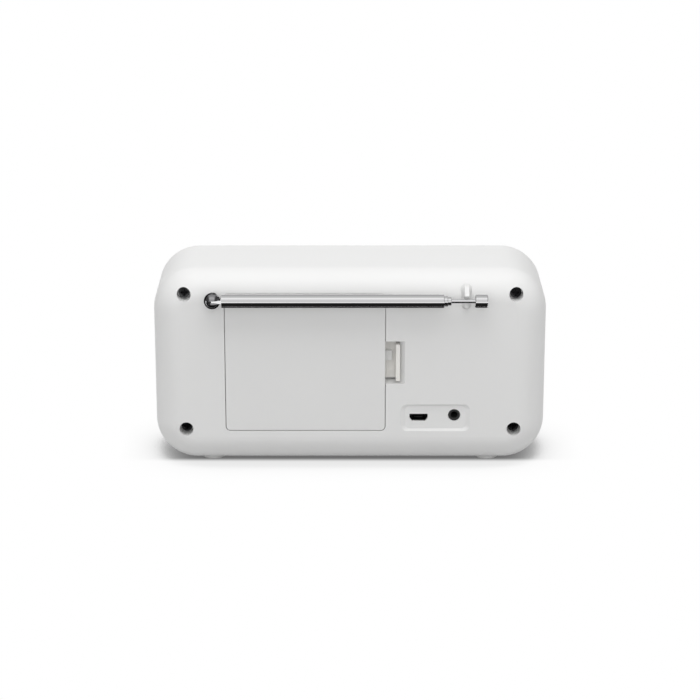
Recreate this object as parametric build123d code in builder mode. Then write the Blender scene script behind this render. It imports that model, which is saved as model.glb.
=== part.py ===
"""Tabletop radio with a telescopic aerial, built as separate pieces in millimetres.

The radio stands on z = 0 and its front faces -Y. Depths are measured from the flat back
of the casing towards the front, and "left" and "right" are as seen from the front.
"""

from build123d import *

import os
from math import cos, pi, radians, sin, sqrt, tan

os.makedirs("parts", exist_ok=True)

# ---------------------------------------------------------------- driving dimensions
# Casing
body_width = 190.0
body_height = 96.4
body_depth = 56.0
corner_radius = 20.4
back_edge_radius = 14.0
front_edge_radius = 4.0
wall = 2.2
front_wall = 2.6
rear_shell_depth = 18.0
lip_thickness = 1.0
lip_height = 2.0
fit_gap = 0.1

# Feet
foot_height = 2.0
foot_diameter = 12.0
foot_edge_radius = 0.8
foot_inset = 27.5
rear_foot_depth = 18.0
front_foot_setback = 13.0

# Case screws, sunk in wells in the back
case_screw_inset = 15.35
case_screw_drop = 10.4
case_screw_lift = 18.1
well_diameter = 6.8
well_depth = 7.0
well_wall = 1.6
case_screw_head_diameter = 5.4
case_screw_head_height = 2.0
case_screw_diameter = 2.9
case_screw_grip = 11.0
case_boss_diameter = 8.0
cross_slot_width = 0.9
cross_slot_length = 3.6
cross_slot_depth = 1.1

# Small screws inside the casing
small_screw_diameter = 2.0
small_screw_head_diameter = 4.0
small_screw_head_height = 1.4
small_screw_grip = 4.0
small_boss_diameter = 5.0

# Battery door, seen from behind as a rounded plate flush with the back
door_width = 77.2
door_height = 64.0
door_seam_rise = 4.85
door_seam_depth = 1.3
door_hinge_x = 60.2
door_base_z = 19.5
door_thickness = 2.0
door_corner_radius = 2.0
door_edge_radius = 0.25
door_gap = 0.3
tongue_width = 10.0
tongue_spacing = 24.0
tongue_thickness = 1.2
tongue_reach = 2.4
tongue_neck = 3.0
tongue_gap = 0.2
cushion_thickness = 2.0
cushion_width = 8.0

# Door latch and the finger recess beside it
recess_width = 9.6
recess_height = 21.5
recess_base_z = 43.3
recess_depth = 9.0
recess_slope_width = 2.5
recess_slope_depth = 3.0
recess_wall = 1.4
latch_height = 18.5
latch_base_z = 44.4
latch_leg = 0.9
latch_lip_top = 0.9
latch_lip_bottom = 2.2
latch_floor_depth = 8.0
latch_hook_top = 3.6
latch_hook_height = 1.0
latch_hook_reach = 1.8
latch_lip_reach = 1.1
latch_travel = 1.2
latch_mouth = 5.2
latch_rib_height = 4.85
latch_rib_base_z = 53.7
latch_rib_reach = 3.4
latch_rib_depth = 5.2
latch_inner_leg = 1.4

# Battery box and four AA cells
cell_diameter = 14.2
cell_body = 49.2
cell_nub = 1.2
cell_nub_diameter = 5.2
cell_edge_radius = 0.8
cell_pitch = 14.6
cell_count = 4
cell_play = 0.1
box_wall = 1.5
box_flange = 1.4
box_flange_reach = 1.0
box_spring_room = 6.8
box_rib_height = 4.5
box_ear = 1.5
box_boss_height = 4.0
box_ear_reach = 13.2
box_ear_drop = 24.0
box_ear_rise = 22.5
box_ear_clearance = 13.15
contact_thickness = 0.4
contact_size = 10.0
contact_tab = 4.0
contact_tab_width = 3.0
spring_radius = 3.3
spring_wire = 0.7
spring_turns = 4

# Socket recess, micro USB socket and headphone jack
port_recess_width = 33.7
port_recess_height = 13.8
port_recess_radius = 3.2
port_recess_depth = 1.0
port_floor_width = 29.5
port_floor_height = 11.6
port_x = -41.5
port_z = 25.9
usb_x = -33.35
usb_width = 8.5
usb_height = 3.3
usb_flat = 6.4
usb_shoulder = 2.0
usb_play = 0.15
usb_gap = 0.25
usb_skin = 0.35
usb_length = 5.6
usb_tongue_width = 3.9
usb_tongue_thickness = 0.6
usb_set_in = 0.4
usb_rise = -0.05
jack_x = -50.65
jack_z = 27.0
jack_hole = 6.0
jack_nose = 5.8
jack_bore = 3.6
jack_bore_depth = 14.0
jack_body_width = 7.0
jack_body_height = 5.2

# Main board, lying flat above the floor of the casing
board_thickness = 1.6
board_top_z = 24.4
board_inset = 23.0
board_right = -9.6
board_rear = 5.0
board_front = 36.0
board_screw_inset = 4.0
board_screw_rear = 23.0
shield_width = 22.0
shield_length = 15.0
shield_height = 3.6
shield_skin = 0.3
capacitor_diameter = 6.3
capacitor_height = 8.5
capacitor_pitch = 8.0

# Aerial: bush, knuckle, telescopic sections, tip
aerial_inset = 29.3
aerial_drop = 11.5
aerial_offset = 6.0
knuckle_diameter = 7.8
knuckle_stem = 4.4
aerial_boss_diameter = 9.0
aerial_boss_depth = 5.5
running_gap = 0.05
hinge_pin_diameter = 1.5
hinge_pin_length = 7.2
blade_thickness = 1.6
blade_radius = 2.2
plug_length = 5.0
tube_start = 4.5
tube_length = 106.1
tube_wall = 0.35
section_diameters = [6.5, 5.05, 4.1, 3.1]
section_steps = [1.75, 1.65, -0.2]
tip_rod_diameter = 2.0
section_travel = 88.0
section_overlap = 12.5
section_foot = 3.0
section_mouth = 1.5
section_mouth_radius = 0.35
tip_rod_show = 11.3
tip_knob_diameter = 6.4
tip_knob_length = 6.1
tip_knob_edge = 0.5
contact_ring_diameter = 9.0
contact_ring_thickness = 0.5
contact_tag_length = 9.0
contact_tag_width = 3.0
base_screw_diameter = 2.2
base_screw_head = 6.6
base_screw_head_height = 1.5
base_screw_length = 4.5

# Rest that the aerial's tip rod clips into
clip_setback = 3.9
clip_width = 5.9
clip_height = 12.9
clip_taper = 18.0
clip_rest = 4.2
clip_reach = 7.6
clip_edge = 0.7
clip_fin = 2.4
clip_fin_slope = 4.2
clip_peg_diameter = 3.0
clip_peg_drop = 3.3
clip_notch_gap = 0.1

# Loudspeaker and its grille on the left half of the front
speaker_inset = 47.0
speaker_diameter = 68.0
speaker_opening = 58.0
speaker_flange = 1.5
speaker_skin = 1.2
speaker_depth = 13.0
speaker_back_diameter = 36.0
speaker_ear_circle = 74.0
speaker_ear_diameter = 6.8
speaker_window_diameter = 7.0
speaker_window_count = 8
gasket_thickness = 1.0
magnet_diameter = 36.0
magnet_bore = 19.0
magnet_height = 8.0
yoke_thickness = 2.5
pole_diameter = 14.0
coil_diameter = 16.0
coil_wall = 0.5
cone_skin = 0.5
dust_cap_diameter = 18.0
dust_cap_rise = 3.0
surround_width = 4.0
surround_rise = 1.4
glue_gap = 0.05
grille_diameter = 70.0
grille_opening = 60.0
grille_thickness = 1.4
grille_proud = 0.3
cloth_thickness = 0.3
grille_hole = 2.2
grille_ring_pitch = 4.2
grille_rings = 7

# Display window and the board behind the front
window_x = 26.0
window_rise = 14.3
window_width = 54.0
window_height = 26.0
window_radius = 3.0
window_thickness = 1.2
window_ledge = 3.0
window_gap = 0.1
module_margin = 1.5
module_rise = 1.0
control_left = -14.6
control_inset = 9.0
control_fall = 24.2
control_rise = 32.8
control_setback = 10.4
control_screw_inset = 4.5
control_screw_lift = 3.0
ribbon_width = 4.0
ribbon_thickness = 0.5
ribbon_seat = 7.4
ribbon_bend = 3.0

# Push buttons under the display
button_names = ["power", "band", "preset", "menu", "alarm"]
button_x = 41.0
button_fall = 14.2
button_pitch = 17.0
button_width = 12.0
button_height = 6.0
button_proud = 1.5
button_gap = 0.2
button_flange = 1.2
button_flange_reach = 1.0
button_stem = 3.0
button_travel = 0.6
button_edge = 0.6
switch_size = 6.0
switch_height = 3.4
switch_plunger = 3.4
switch_plunger_height = 0.7
stop_gap = 0.1

# Rotary control on the right
knob_inset = 23.0
knob_diameter = 23.0
knob_height = 11.2
knob_clearance = 0.8
knob_edge_radius = 1.2
knob_flutes = 36
knob_flute_radius = 0.5
knob_hollow = 15.0
knob_hollow_depth = 3.4
knob_travel = 0.5
shaft_diameter = 6.0
shaft_grip = 8.0
encoder_size = 12.0
encoder_body = 6.2
bushing_diameter = 7.0
bushing_reach = 2.0
nut_flats = 10.0
nut_thickness = 1.6
plunger_diameter = 2.0
plunger_length = 2.6
plunger_rise = 0.8
encoder_floor = 3.4

# Leads inside the casing
lead_diameter = 1.3
speaker_lead_angles = [-20.0, -28.0]
battery_lead_x = -17.0
aerial_lead_x = -24.5
lead_depth = 30.5
battery_lead_depth = 26.0
lower_lead_depth = 19.5
upper_lead_rise = 20.6

# ---------------------------------------------------------------- derived places
body_base_z = foot_height
body_mid_z = foot_height + body_height / 2
body_top_z = foot_height + body_height
body_side = body_width / 2
foot_side = body_side - foot_inset
knob_reach = knob_clearance + knob_height
back_reach = aerial_offset + knuckle_diameter / 2
back_y = (body_depth + knob_reach - back_reach) / 2
front_inside = body_depth - front_wall
case_screw_side = body_side - case_screw_inset
case_screw_points = [
    (side, z)
    for side in (-case_screw_side, case_screw_side)
    for z in (foot_height + case_screw_lift, body_top_z - case_screw_drop)
]
aerial_x = body_side - aerial_inset
aerial_z = body_top_z - aerial_drop
speaker_x = speaker_inset - body_side
knob_x = body_side - knob_inset
window_z = body_mid_z + window_rise
button_z = body_mid_z - button_fall
board_left = board_inset - body_side
door_x = door_hinge_x - door_width / 2
door_z = door_base_z + door_height / 2
door_latch_x = door_hinge_x - door_width
tongue_points = [door_z - tongue_spacing / 2, door_z + tongue_spacing / 2]
recess_far_x = door_latch_x - recess_width
recess_wall_x = recess_far_x + recess_slope_width
recess_near_x = door_latch_x + latch_inner_leg + latch_travel + 2 * door_gap
recess_top_z = recess_base_z + recess_height
latch_leg_x = door_latch_x - latch_mouth
hook_tip_x = latch_leg_x - latch_leg - latch_hook_reach
latch_z = latch_base_z + latch_height / 2

cell_radius = cell_diameter / 2
box_length = 2 * contact_thickness + cell_body + cell_nub + box_spring_room
box_height = cell_count * cell_pitch
box_left = door_x - box_length / 2
box_right = door_x + box_length / 2
cell_depth = door_thickness + cushion_thickness + door_gap + cell_radius
box_floor_depth = cell_depth + cell_radius + cell_play
cell_rows = [door_z + (row - (cell_count - 1) / 2) * cell_pitch for row in range(cell_count)]
box_ear_depth = wall + box_boss_height
box_ear_left_x = box_left - box_wall - box_ear_reach
box_ear_right_x = box_right + box_wall + box_ear_reach
box_ear_points = [
    (box_ear_right_x, door_z - box_ear_drop),
    (box_ear_right_x, min(door_z + box_ear_rise, aerial_z - box_ear_clearance)),
    (box_ear_left_x, recess_base_z - recess_wall - small_boss_diameter / 2 - 5 * fit_gap),
    (box_ear_left_x, door_z + box_ear_rise),
]

usb_z = port_z + usb_rise
jack_nose_depth = port_recess_depth + usb_set_in
board_z = board_top_z - board_thickness
board_screw_points = [
    (x, d)
    for x in (board_left + board_screw_inset, board_right - board_screw_inset)
    for d in (board_screw_rear, board_front - board_screw_inset)
]

rod_y = back_y + aerial_offset
tube_inner_x = aerial_x - tube_start
tube_outer_x = tube_inner_x - tube_length
outer_ends = [tube_outer_x]
for step in section_steps:
    outer_ends.append(outer_ends[-1] - step)
tip_rod_end = outer_ends[2] - tip_rod_show
clip_x = tip_rod_end + clip_setback
clip_peg_z = aerial_z - clip_peg_drop

control_right = body_side - control_inset
control_base = body_mid_z - control_fall
control_top = body_mid_z + control_rise
control_depth = front_inside - control_setback
control_face = control_depth + board_thickness
control_screw_points = [
    (control_left + control_screw_inset, control_base + control_screw_lift),
    (control_right - control_screw_inset, control_base + control_screw_lift),
    (control_left + control_screw_inset, control_top - control_screw_inset),
    (control_right - control_screw_inset, control_top - control_screw_inset),
]
button_middle = (len(button_names) - 1) / 2
button_points = [button_x + (i - button_middle) * button_pitch for i in range(len(button_names))]
plunger_top = control_face + encoder_floor + plunger_rise

speaker_seat = front_inside - gasket_thickness
speaker_rear = speaker_seat - speaker_flange - speaker_depth
grille_recess = grille_thickness - grille_proud + cloth_thickness


# ---------------------------------------------------------------- helpers
def depth(distance):
    """Plane parallel to the back, `distance` inside it: X runs across, Z runs up."""
    return Plane.XZ.offset(distance - back_y)


def at_depth(distance):
    """Y of a point `distance` inside the back."""
    return back_y - distance


def save(piece, name):
    """Labels a finished piece and writes its STEP file."""
    piece.part.label = name
    export_step(piece.part, f"parts/{name}.step")


def outline(inset, mode=Mode.ADD):
    """The casing's rounded outline, `inset` inside its outer skin."""
    with Locations((0, body_mid_z)):
        RectangleRounded(
            body_width - 2 * inset, body_height - 2 * inset, corner_radius - inset, mode=mode
        )


def column(points, diameter, start, end, mode=Mode.ADD):
    """Round columns that run front to back at (x, z) points, between two depths."""
    with BuildSketch(depth(start)) as discs:
        with Locations(*points):
            Circle(diameter / 2)
    extrude(discs.sketch, amount=end - start, mode=mode)


def block(x, z, width, height, start, end, radius=0.0, mode=Mode.ADD):
    """A plate centred on (x, z) between two depths, with rounded corners if asked."""
    with BuildSketch(depth(start)) as plate:
        with Locations((x, z)):
            if radius > 0:
                RectangleRounded(width, height, radius)
            else:
                Rectangle(width, height)
    extrude(plate.sketch, amount=end - start, mode=mode)


def floor_plan(points, base, height, mode=Mode.ADD):
    """An outline of (x, depth) points, raised from z = base."""
    with BuildSketch(Plane.XY.offset(base)) as plan:
        with BuildLine():
            Polyline(*[(x, at_depth(d)) for x, d in points], close=True)
        make_face()
    extrude(plan.sketch, amount=height, mode=mode)


def usb_shape(inset, start, end, mode=Mode.ADD):
    """A micro USB profile between two depths: straight top, lower corners cut off."""
    side = usb_width / 2 - inset
    top = usb_z + usb_height / 2 - inset
    bottom = usb_z - usb_height / 2 + inset
    with BuildSketch(depth(start)) as profile:
        with BuildLine():
            Polyline(
                (usb_x - side, top),
                (usb_x + side, top),
                (usb_x + side, top + inset - usb_shoulder),
                (usb_x + usb_flat / 2, bottom),
                (usb_x - usb_flat / 2, bottom),
                (usb_x - side, top + inset - usb_shoulder),
                close=True,
            )
        make_face()
    extrude(profile.sketch, amount=end - start, mode=mode)


def turned(profile, x, z, mode=Mode.ADD):
    """A (radius, depth) profile turned about the line through (x, z) that runs front to back."""
    with BuildSketch(Plane(origin=(x, back_y, z), x_dir=(1, 0, 0), z_dir=(0, 0, 1))) as half:
        with BuildLine():
            Polyline(*[(radius, -d) for radius, d in profile], close=True)
        make_face()
    revolve(half.sketch, axis=Axis((x, back_y, z), (0, 1, 0)), mode=mode)


def casing_block(inset, front_inset):
    """A solid with the casing's shape, set in from its back and sides, and from its front."""
    with BuildPart() as solid:
        with BuildSketch(depth(inset)):
            outline(inset)
        extrude(amount=body_depth - inset - front_inset)
        fillet(solid.faces().sort_by(Axis.Y)[-1].edges(), back_edge_radius - inset)
        fillet(solid.faces().sort_by(Axis.Y)[0].edges(), front_edge_radius - inset / 2)
    return solid.part


def small_screws(points, head_end, shank_end):
    """Cross-head screws at (x, z) points; the head's free face lies at head_end."""
    inward = 1 if shank_end > head_end else -1
    seat = head_end + inward * small_screw_head_height
    with BuildPart() as screws:
        column(points, small_screw_head_diameter, head_end, seat)
        column(points, small_screw_diameter, seat, shank_end)
        with BuildSketch(depth(head_end)):
            with Locations(*points):
                Rectangle(small_screw_head_diameter * 0.6, cross_slot_width / 2)
                Rectangle(cross_slot_width / 2, small_screw_head_diameter * 0.6)
        extrude(amount=inward * small_screw_head_height / 2, mode=Mode.SUBTRACT)
    return screws


def sleeve(diameter, start_x, end_x, mode=Mode.ADD):
    """A round length of the aerial between two x positions."""
    with BuildSketch(Plane.YZ.offset(start_x)) as disc:
        with Locations((rod_y, aerial_z)):
            Circle(diameter / 2)
    extrude(disc.sketch, amount=end_x - start_x, mode=mode)


def lead(points, diameter):
    """A lead of round section along straight runs and the largest arcs that fit them."""
    corners = [Vector(*p) for p in points]
    radii = []
    for before, corner, after in zip(corners, corners[1:], corners[2:]):
        shorter = min((corner - before).length, (after - corner).length)
        turn = (corner - before).get_angle(after - corner)
        radii.append(0.45 * shorter / tan(radians(turn) / 2))
    with BuildPart() as wire:
        with BuildLine() as path:
            FilletPolyline(*corners, radius=radii)
        with BuildSketch(Plane(origin=path.line @ 0, z_dir=path.line % 0)):
            Circle(diameter / 2)
        sweep()
    expected = pi * diameter**2 / 4 * sum(edge.length for edge in path.edges())
    print(f"radii {[round(r, 1) for r in radii]}, volume ratio {wire.part.volume / expected:.4f}")
    return wire


casing_solid = casing_block(0, 0)
casing_hollow = casing_block(wall, front_wall)

# ---------------------------------------------------------------- front shell
# The hollow leaves the screw bosses, the board posts and the speaker pads standing.
with BuildPart() as front_hollow:
    add(casing_hollow)
    column(case_screw_points, case_boss_diameter, rear_shell_depth, body_depth, Mode.SUBTRACT)
    column(control_screw_points, small_boss_diameter, control_face, body_depth, Mode.SUBTRACT)
    with BuildSketch(depth(speaker_seat)):
        with Locations((speaker_x, body_mid_z)):
            with PolarLocations(speaker_ear_circle / 2, 4):
                Circle(small_boss_diameter / 2)
    extrude(amount=gasket_thickness * 2, mode=Mode.SUBTRACT)
    with BuildSketch():
        with Locations(*[(x, at_depth(d)) for x, d in board_screw_points]):
            Circle(small_boss_diameter / 2)
    extrude(amount=board_z, mode=Mode.SUBTRACT)

with BuildPart() as front_shell:
    add(casing_solid)
    add(front_hollow.part, mode=Mode.SUBTRACT)
    split(bisect_by=depth(rear_shell_depth), keep=Keep.TOP)
    # Step that the rear shell's lip enters
    with BuildSketch(depth(rear_shell_depth)):
        outline(wall - lip_thickness - fit_gap)
        with Locations(*case_screw_points):
            Circle(case_boss_diameter / 2, mode=Mode.SUBTRACT)
    extrude(amount=lip_height + fit_gap, mode=Mode.SUBTRACT)
    # Screw bores
    column(
        case_screw_points,
        case_screw_diameter + 2 * running_gap,
        rear_shell_depth,
        rear_shell_depth + case_screw_grip + 1,
        Mode.SUBTRACT,
    )
    column(
        control_screw_points,
        small_screw_diameter + 2 * running_gap,
        control_face,
        control_face + small_screw_grip,
        Mode.SUBTRACT,
    )
    with BuildSketch(Plane.XY.offset(board_z - small_screw_grip)):
        with Locations(*[(x, at_depth(d)) for x, d in board_screw_points]):
            Circle(small_screw_diameter / 2 + running_gap)
    extrude(amount=small_screw_grip, mode=Mode.SUBTRACT)
    with BuildSketch(depth(speaker_seat)):
        with Locations((speaker_x, body_mid_z)):
            with PolarLocations(speaker_ear_circle / 2, 4):
                Circle(small_screw_diameter / 2 + running_gap)
    extrude(amount=small_screw_grip - speaker_flange, mode=Mode.SUBTRACT)
    # Grille recess and the opening behind it
    speaker_axis = [(speaker_x, body_mid_z)]
    grille_floor = body_depth - grille_recess
    column(speaker_axis, grille_diameter + 2 * fit_gap, grille_floor, body_depth, Mode.SUBTRACT)
    column(speaker_axis, grille_opening, front_inside, body_depth, Mode.SUBTRACT)
    # Display window recess and opening
    block(
        window_x,
        window_z,
        window_width + 2 * window_gap,
        window_height + 2 * window_gap,
        body_depth - window_thickness,
        body_depth,
        window_radius + window_gap,
        Mode.SUBTRACT,
    )
    block(
        window_x,
        window_z,
        window_width - 2 * window_ledge,
        window_height - 2 * window_ledge,
        front_inside,
        body_depth,
        mode=Mode.SUBTRACT,
    )
    # Button and knob openings
    with BuildSketch(depth(front_inside)):
        with Locations(*[(x, button_z) for x in button_points]):
            SlotOverall(button_width + 2 * button_gap, button_height + 2 * button_gap)
    extrude(amount=front_wall, mode=Mode.SUBTRACT)
    column([(knob_x, window_z)], bushing_diameter + 2 * fit_gap, front_inside, body_depth, Mode.SUBTRACT)
save(front_shell, "front_shell")

# ---------------------------------------------------------------- rear shell
# Its hollow leaves the screw posts, the aerial boss and the walls of the recesses standing.
pocket_left = hook_tip_x - 2 * recess_wall
pocket_right = recess_near_x
pocket_x = (pocket_left + pocket_right) / 2
with BuildPart() as rear_hollow:
    add(casing_hollow)
    column(case_screw_points, well_diameter + 2 * well_wall, 0, rear_shell_depth, Mode.SUBTRACT)
    column([(aerial_x, aerial_z)], aerial_boss_diameter, 0, aerial_boss_depth, Mode.SUBTRACT)
    column(box_ear_points, small_boss_diameter, 0, box_ear_depth, Mode.SUBTRACT)
    block(
        pocket_x,
        recess_base_z + recess_height / 2,
        pocket_right - pocket_left,
        recess_height + 2 * recess_wall,
        0,
        recess_depth + recess_wall,
        mode=Mode.SUBTRACT,
    )
    block(
        port_x,
        port_z,
        port_recess_width + wall,
        port_recess_height + wall,
        0,
        port_recess_depth + wall,
        port_recess_radius,
        Mode.SUBTRACT,
    )

with BuildPart() as rear_shell:
    add(casing_solid)
    add(rear_hollow.part, mode=Mode.SUBTRACT)
    split(bisect_by=depth(rear_shell_depth), keep=Keep.BOTTOM)
    # Lip that enters the front shell
    with BuildSketch(depth(rear_shell_depth)):
        outline(wall - lip_thickness)
        outline(wall, mode=Mode.SUBTRACT)
    extrude(amount=lip_height)
    # Wells and clearance holes of the case screws
    column(case_screw_points, well_diameter, 0, well_depth, Mode.SUBTRACT)
    column(case_screw_points, case_screw_diameter + 4 * fit_gap, 0, rear_shell_depth, Mode.SUBTRACT)
    # Bore that the aerial's stem turns in, and the hole for the peg of its clip
    column([(aerial_x, aerial_z)], knuckle_stem + 2 * running_gap, 0, aerial_boss_depth, Mode.SUBTRACT)
    column([(clip_x, clip_peg_z)], clip_peg_diameter + 2 * running_gap, 0, 2 * wall, Mode.SUBTRACT)
    # Opening for the battery door, and the bores for the screws of the battery box
    block(
        door_x,
        door_z,
        door_width + 2 * door_gap,
        door_height + 2 * door_gap,
        0,
        wall,
        door_corner_radius + door_gap,
        Mode.SUBTRACT,
    )
    # Shallow seam that carries the door's outline on above it, behind the folded aerial
    with BuildSketch(depth(0)):
        with Locations((door_x, door_base_z + door_height)):
            RectangleRounded(
                door_width + 2 * door_gap,
                2 * (door_seam_rise + door_gap),
                door_corner_radius + door_gap,
            )
            RectangleRounded(
                door_width, 2 * door_seam_rise, door_corner_radius, mode=Mode.SUBTRACT
            )
    extrude(amount=door_seam_depth, mode=Mode.SUBTRACT)
    column(
        box_ear_points,
        small_screw_diameter + 2 * running_gap,
        box_ear_depth - small_screw_grip,
        box_ear_depth,
        Mode.SUBTRACT,
    )
    # Finger recess with its sloping far wall, and the slot that the latch hooks into
    floor_plan(
        [
            (recess_far_x, -1),
            (recess_far_x, 0),
            (recess_wall_x, recess_slope_depth),
            (recess_wall_x, recess_depth),
            (recess_near_x, recess_depth),
            (recess_near_x, -1),
        ],
        recess_base_z,
        recess_height,
        Mode.SUBTRACT,
    )
    block(
        recess_wall_x,
        latch_z,
        2 * (recess_wall_x - hook_tip_x + 5 * fit_gap),
        latch_height + 2 * door_gap,
        latch_hook_top - 2 * fit_gap,
        latch_hook_top + latch_hook_height + 4 * fit_gap,
        mode=Mode.SUBTRACT,
    )
    # Shallow socket recess with sloping sides, and its two openings
    with BuildSketch(depth(0)):
        with Locations((port_x, port_z)):
            RectangleRounded(port_recess_width, port_recess_height, port_recess_radius)
    with BuildSketch(depth(port_recess_depth)):
        with Locations((port_x, port_z)):
            RectangleRounded(port_floor_width, port_floor_height, port_recess_radius - 1)
    loft(mode=Mode.SUBTRACT)
    usb_shape(-usb_play, port_recess_depth, port_recess_depth + wall, Mode.SUBTRACT)
    column([(jack_x, jack_z)], jack_hole, 0, port_recess_depth + wall, Mode.SUBTRACT)
save(rear_shell, "rear_shell")

# ---------------------------------------------------------------- feet and case screws
with BuildPart() as feet:
    with BuildSketch():
        with Locations(
            (-foot_side, at_depth(rear_foot_depth)),
            (foot_side, at_depth(rear_foot_depth)),
            (-foot_side, at_depth(body_depth - front_foot_setback)),
            (foot_side, at_depth(body_depth - front_foot_setback)),
        ):
            Circle(foot_diameter / 2)
    extrude(amount=foot_height)
    fillet(feet.edges().group_by(Axis.Z)[0], foot_edge_radius)
save(feet, "feet")

with BuildPart() as case_screws:
    head_depth = well_depth - case_screw_head_height
    column(case_screw_points, case_screw_head_diameter, head_depth, well_depth)
    column(case_screw_points, case_screw_diameter, well_depth, rear_shell_depth + case_screw_grip)
    with BuildSketch(depth(head_depth)):
        with Locations(*case_screw_points):
            Rectangle(cross_slot_length, cross_slot_width)
            Rectangle(cross_slot_width, cross_slot_length)
    extrude(amount=cross_slot_depth, mode=Mode.SUBTRACT)
save(case_screws, "case_screws")

# ---------------------------------------------------------------- battery door and latch
with BuildPart() as battery_door:
    block(door_x, door_z, door_width, door_height, 0, door_thickness, door_corner_radius)
    fillet(battery_door.faces().sort_by(Axis.Y)[-1].edges(), door_edge_radius)
    # Tongues that reach under the rear wall at the hinge side
    tongue_top = wall + tongue_gap
    neck_x = door_hinge_x - tongue_gap
    for tongue_z in tongue_points:
        floor_plan(
            [
                (neck_x - tongue_neck, door_thickness),
                (neck_x, door_thickness),
                (neck_x, tongue_top),
                (door_hinge_x + tongue_reach, tongue_top),
                (door_hinge_x + tongue_reach, tongue_top + tongue_thickness),
                (neck_x - tongue_neck, tongue_top + tongue_thickness),
            ],
            tongue_z - tongue_width / 2,
            tongue_width,
        )
    # Inner leg of the spring latch and the rib across its mouth
    leg_end = latch_floor_depth - latch_leg - fit_gap
    floor_plan(
        [
            (door_latch_x, door_thickness),
            (door_latch_x, leg_end),
            (door_latch_x + latch_inner_leg, leg_end),
            (door_latch_x + latch_inner_leg, door_thickness),
        ],
        latch_base_z,
        latch_height,
    )
    floor_plan(
        [
            (door_latch_x - latch_rib_reach, latch_rib_depth),
            (door_latch_x, latch_rib_depth),
            (door_latch_x, leg_end),
            (door_latch_x - latch_rib_reach, leg_end),
        ],
        latch_rib_base_z,
        latch_rib_height,
    )
save(battery_door, "battery_door")

with BuildPart() as battery_latch:
    # Floor of the U, outer leg with its finger lip, and the hook below the lip
    leg_far_x = latch_leg_x - latch_leg
    floor_plan(
        [
            (door_latch_x + latch_inner_leg, latch_floor_depth),
            (leg_far_x, latch_floor_depth),
            (leg_far_x, latch_hook_top + latch_hook_height),
            (hook_tip_x, latch_hook_top + latch_hook_height),
            (hook_tip_x, latch_hook_top + latch_hook_height / 2),
            (leg_far_x, latch_hook_top),
            (leg_far_x, latch_lip_bottom),
            (leg_far_x - latch_lip_reach, latch_lip_top + 3 * fit_gap),
            (leg_far_x - latch_lip_reach, latch_lip_top),
            (latch_leg_x, latch_lip_top),
            (latch_leg_x, latch_floor_depth - latch_leg),
            (door_latch_x + latch_inner_leg, latch_floor_depth - latch_leg),
        ],
        latch_base_z,
        latch_height,
    )
save(battery_latch, "battery_latch")

with BuildPart() as door_cushion:
    cushion_end = door_thickness + cushion_thickness
    for side in (-1, 1):
        block(
            door_x + side * box_length / 4,
            door_z,
            cushion_width,
            box_height - cell_pitch / 2,
            door_thickness,
            cushion_end,
        )
save(door_cushion, "door_cushion")

# ---------------------------------------------------------------- battery box, cells and contacts
with BuildPart() as battery_box:
    outer_length = box_length + 2 * box_wall
    outer_height = box_height + 2 * box_wall
    floor_end = box_floor_depth + box_wall
    # Flange against the inside of the rear wall, round the door's opening, and outer walls
    flange_width = door_width + 2 * door_gap + 2 * box_flange_reach
    flange_height = door_height + 2 * door_gap + 2 * box_flange_reach
    block(door_x, door_z, flange_width, flange_height, wall, wall + box_flange)
    # Ears for the four screws
    for x, z in box_ear_points:
        ear_middle = (x + door_x) / 2
        block(ear_middle, z, abs(x - door_x), small_boss_diameter, box_ear_depth, box_ear_depth + box_ear)
    column(box_ear_points, small_boss_diameter, box_ear_depth, box_ear_depth + box_ear)
    block(door_x, door_z, outer_length, outer_height, wall, floor_end)
    add(rear_hollow.part, mode=Mode.INTERSECT)
    block(door_x, door_z, box_length, box_height, 0, box_floor_depth, mode=Mode.SUBTRACT)
    # Low ribs between the cells
    for row in range(1, cell_count):
        rib_z = door_z + (row - cell_count / 2) * cell_pitch
        floor_plan(
            [
                (box_left + 2 * contact_thickness, box_floor_depth),
                (box_right - 2 * contact_thickness, box_floor_depth),
                (box_right - 2 * contact_thickness, box_floor_depth - box_rib_height / 2),
                (box_left + 2 * contact_thickness, box_floor_depth - box_rib_height / 2),
            ],
            rib_z - fit_gap,
            2 * fit_gap,
        )
    # Notches in the flange for the tongues' swing and for the latch
    swing = door_hinge_x + door_gap / 2 - tongue_neck - 2 * tongue_thickness
    for tongue_z in tongue_points:
        block(
            (swing + door_hinge_x + 2 * box_flange_reach + 2 * tongue_reach) / 2,
            tongue_z,
            door_hinge_x + 2 * box_flange_reach + 2 * tongue_reach - swing,
            tongue_width + 4 * door_gap,
            0,
            wall + box_flange,
            mode=Mode.SUBTRACT,
        )
    latch_side = recess_near_x + door_gap
    block(
        latch_side - recess_width,
        recess_base_z + recess_height / 2,
        2 * recess_width,
        recess_height + 2 * recess_wall + 2 * door_gap,
        0,
        recess_depth + recess_wall + door_gap,
        mode=Mode.SUBTRACT,
    )
    # Screw holes in the ears
    column(
        box_ear_points,
        small_screw_diameter + 2 * fit_gap,
        box_ear_depth,
        box_ear_depth + box_ear,
        Mode.SUBTRACT,
    )
    # Slots for the two contact tabs that the battery leads join
    for tab_z in (cell_rows[0], cell_rows[-1]):
        block(
            box_left - box_wall / 2,
            tab_z,
            box_wall,
            contact_tab_width + 2 * fit_gap,
            cell_depth - contact_thickness,
            cell_depth + contact_thickness,
            mode=Mode.SUBTRACT,
        )
save(battery_box, "battery_box")

box_screws = small_screws(
    box_ear_points,
    box_ear_depth + box_ear + small_screw_head_height,
    box_ear_depth - small_screw_grip + fit_gap,
)
save(box_screws, "battery_box_screws")

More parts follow.
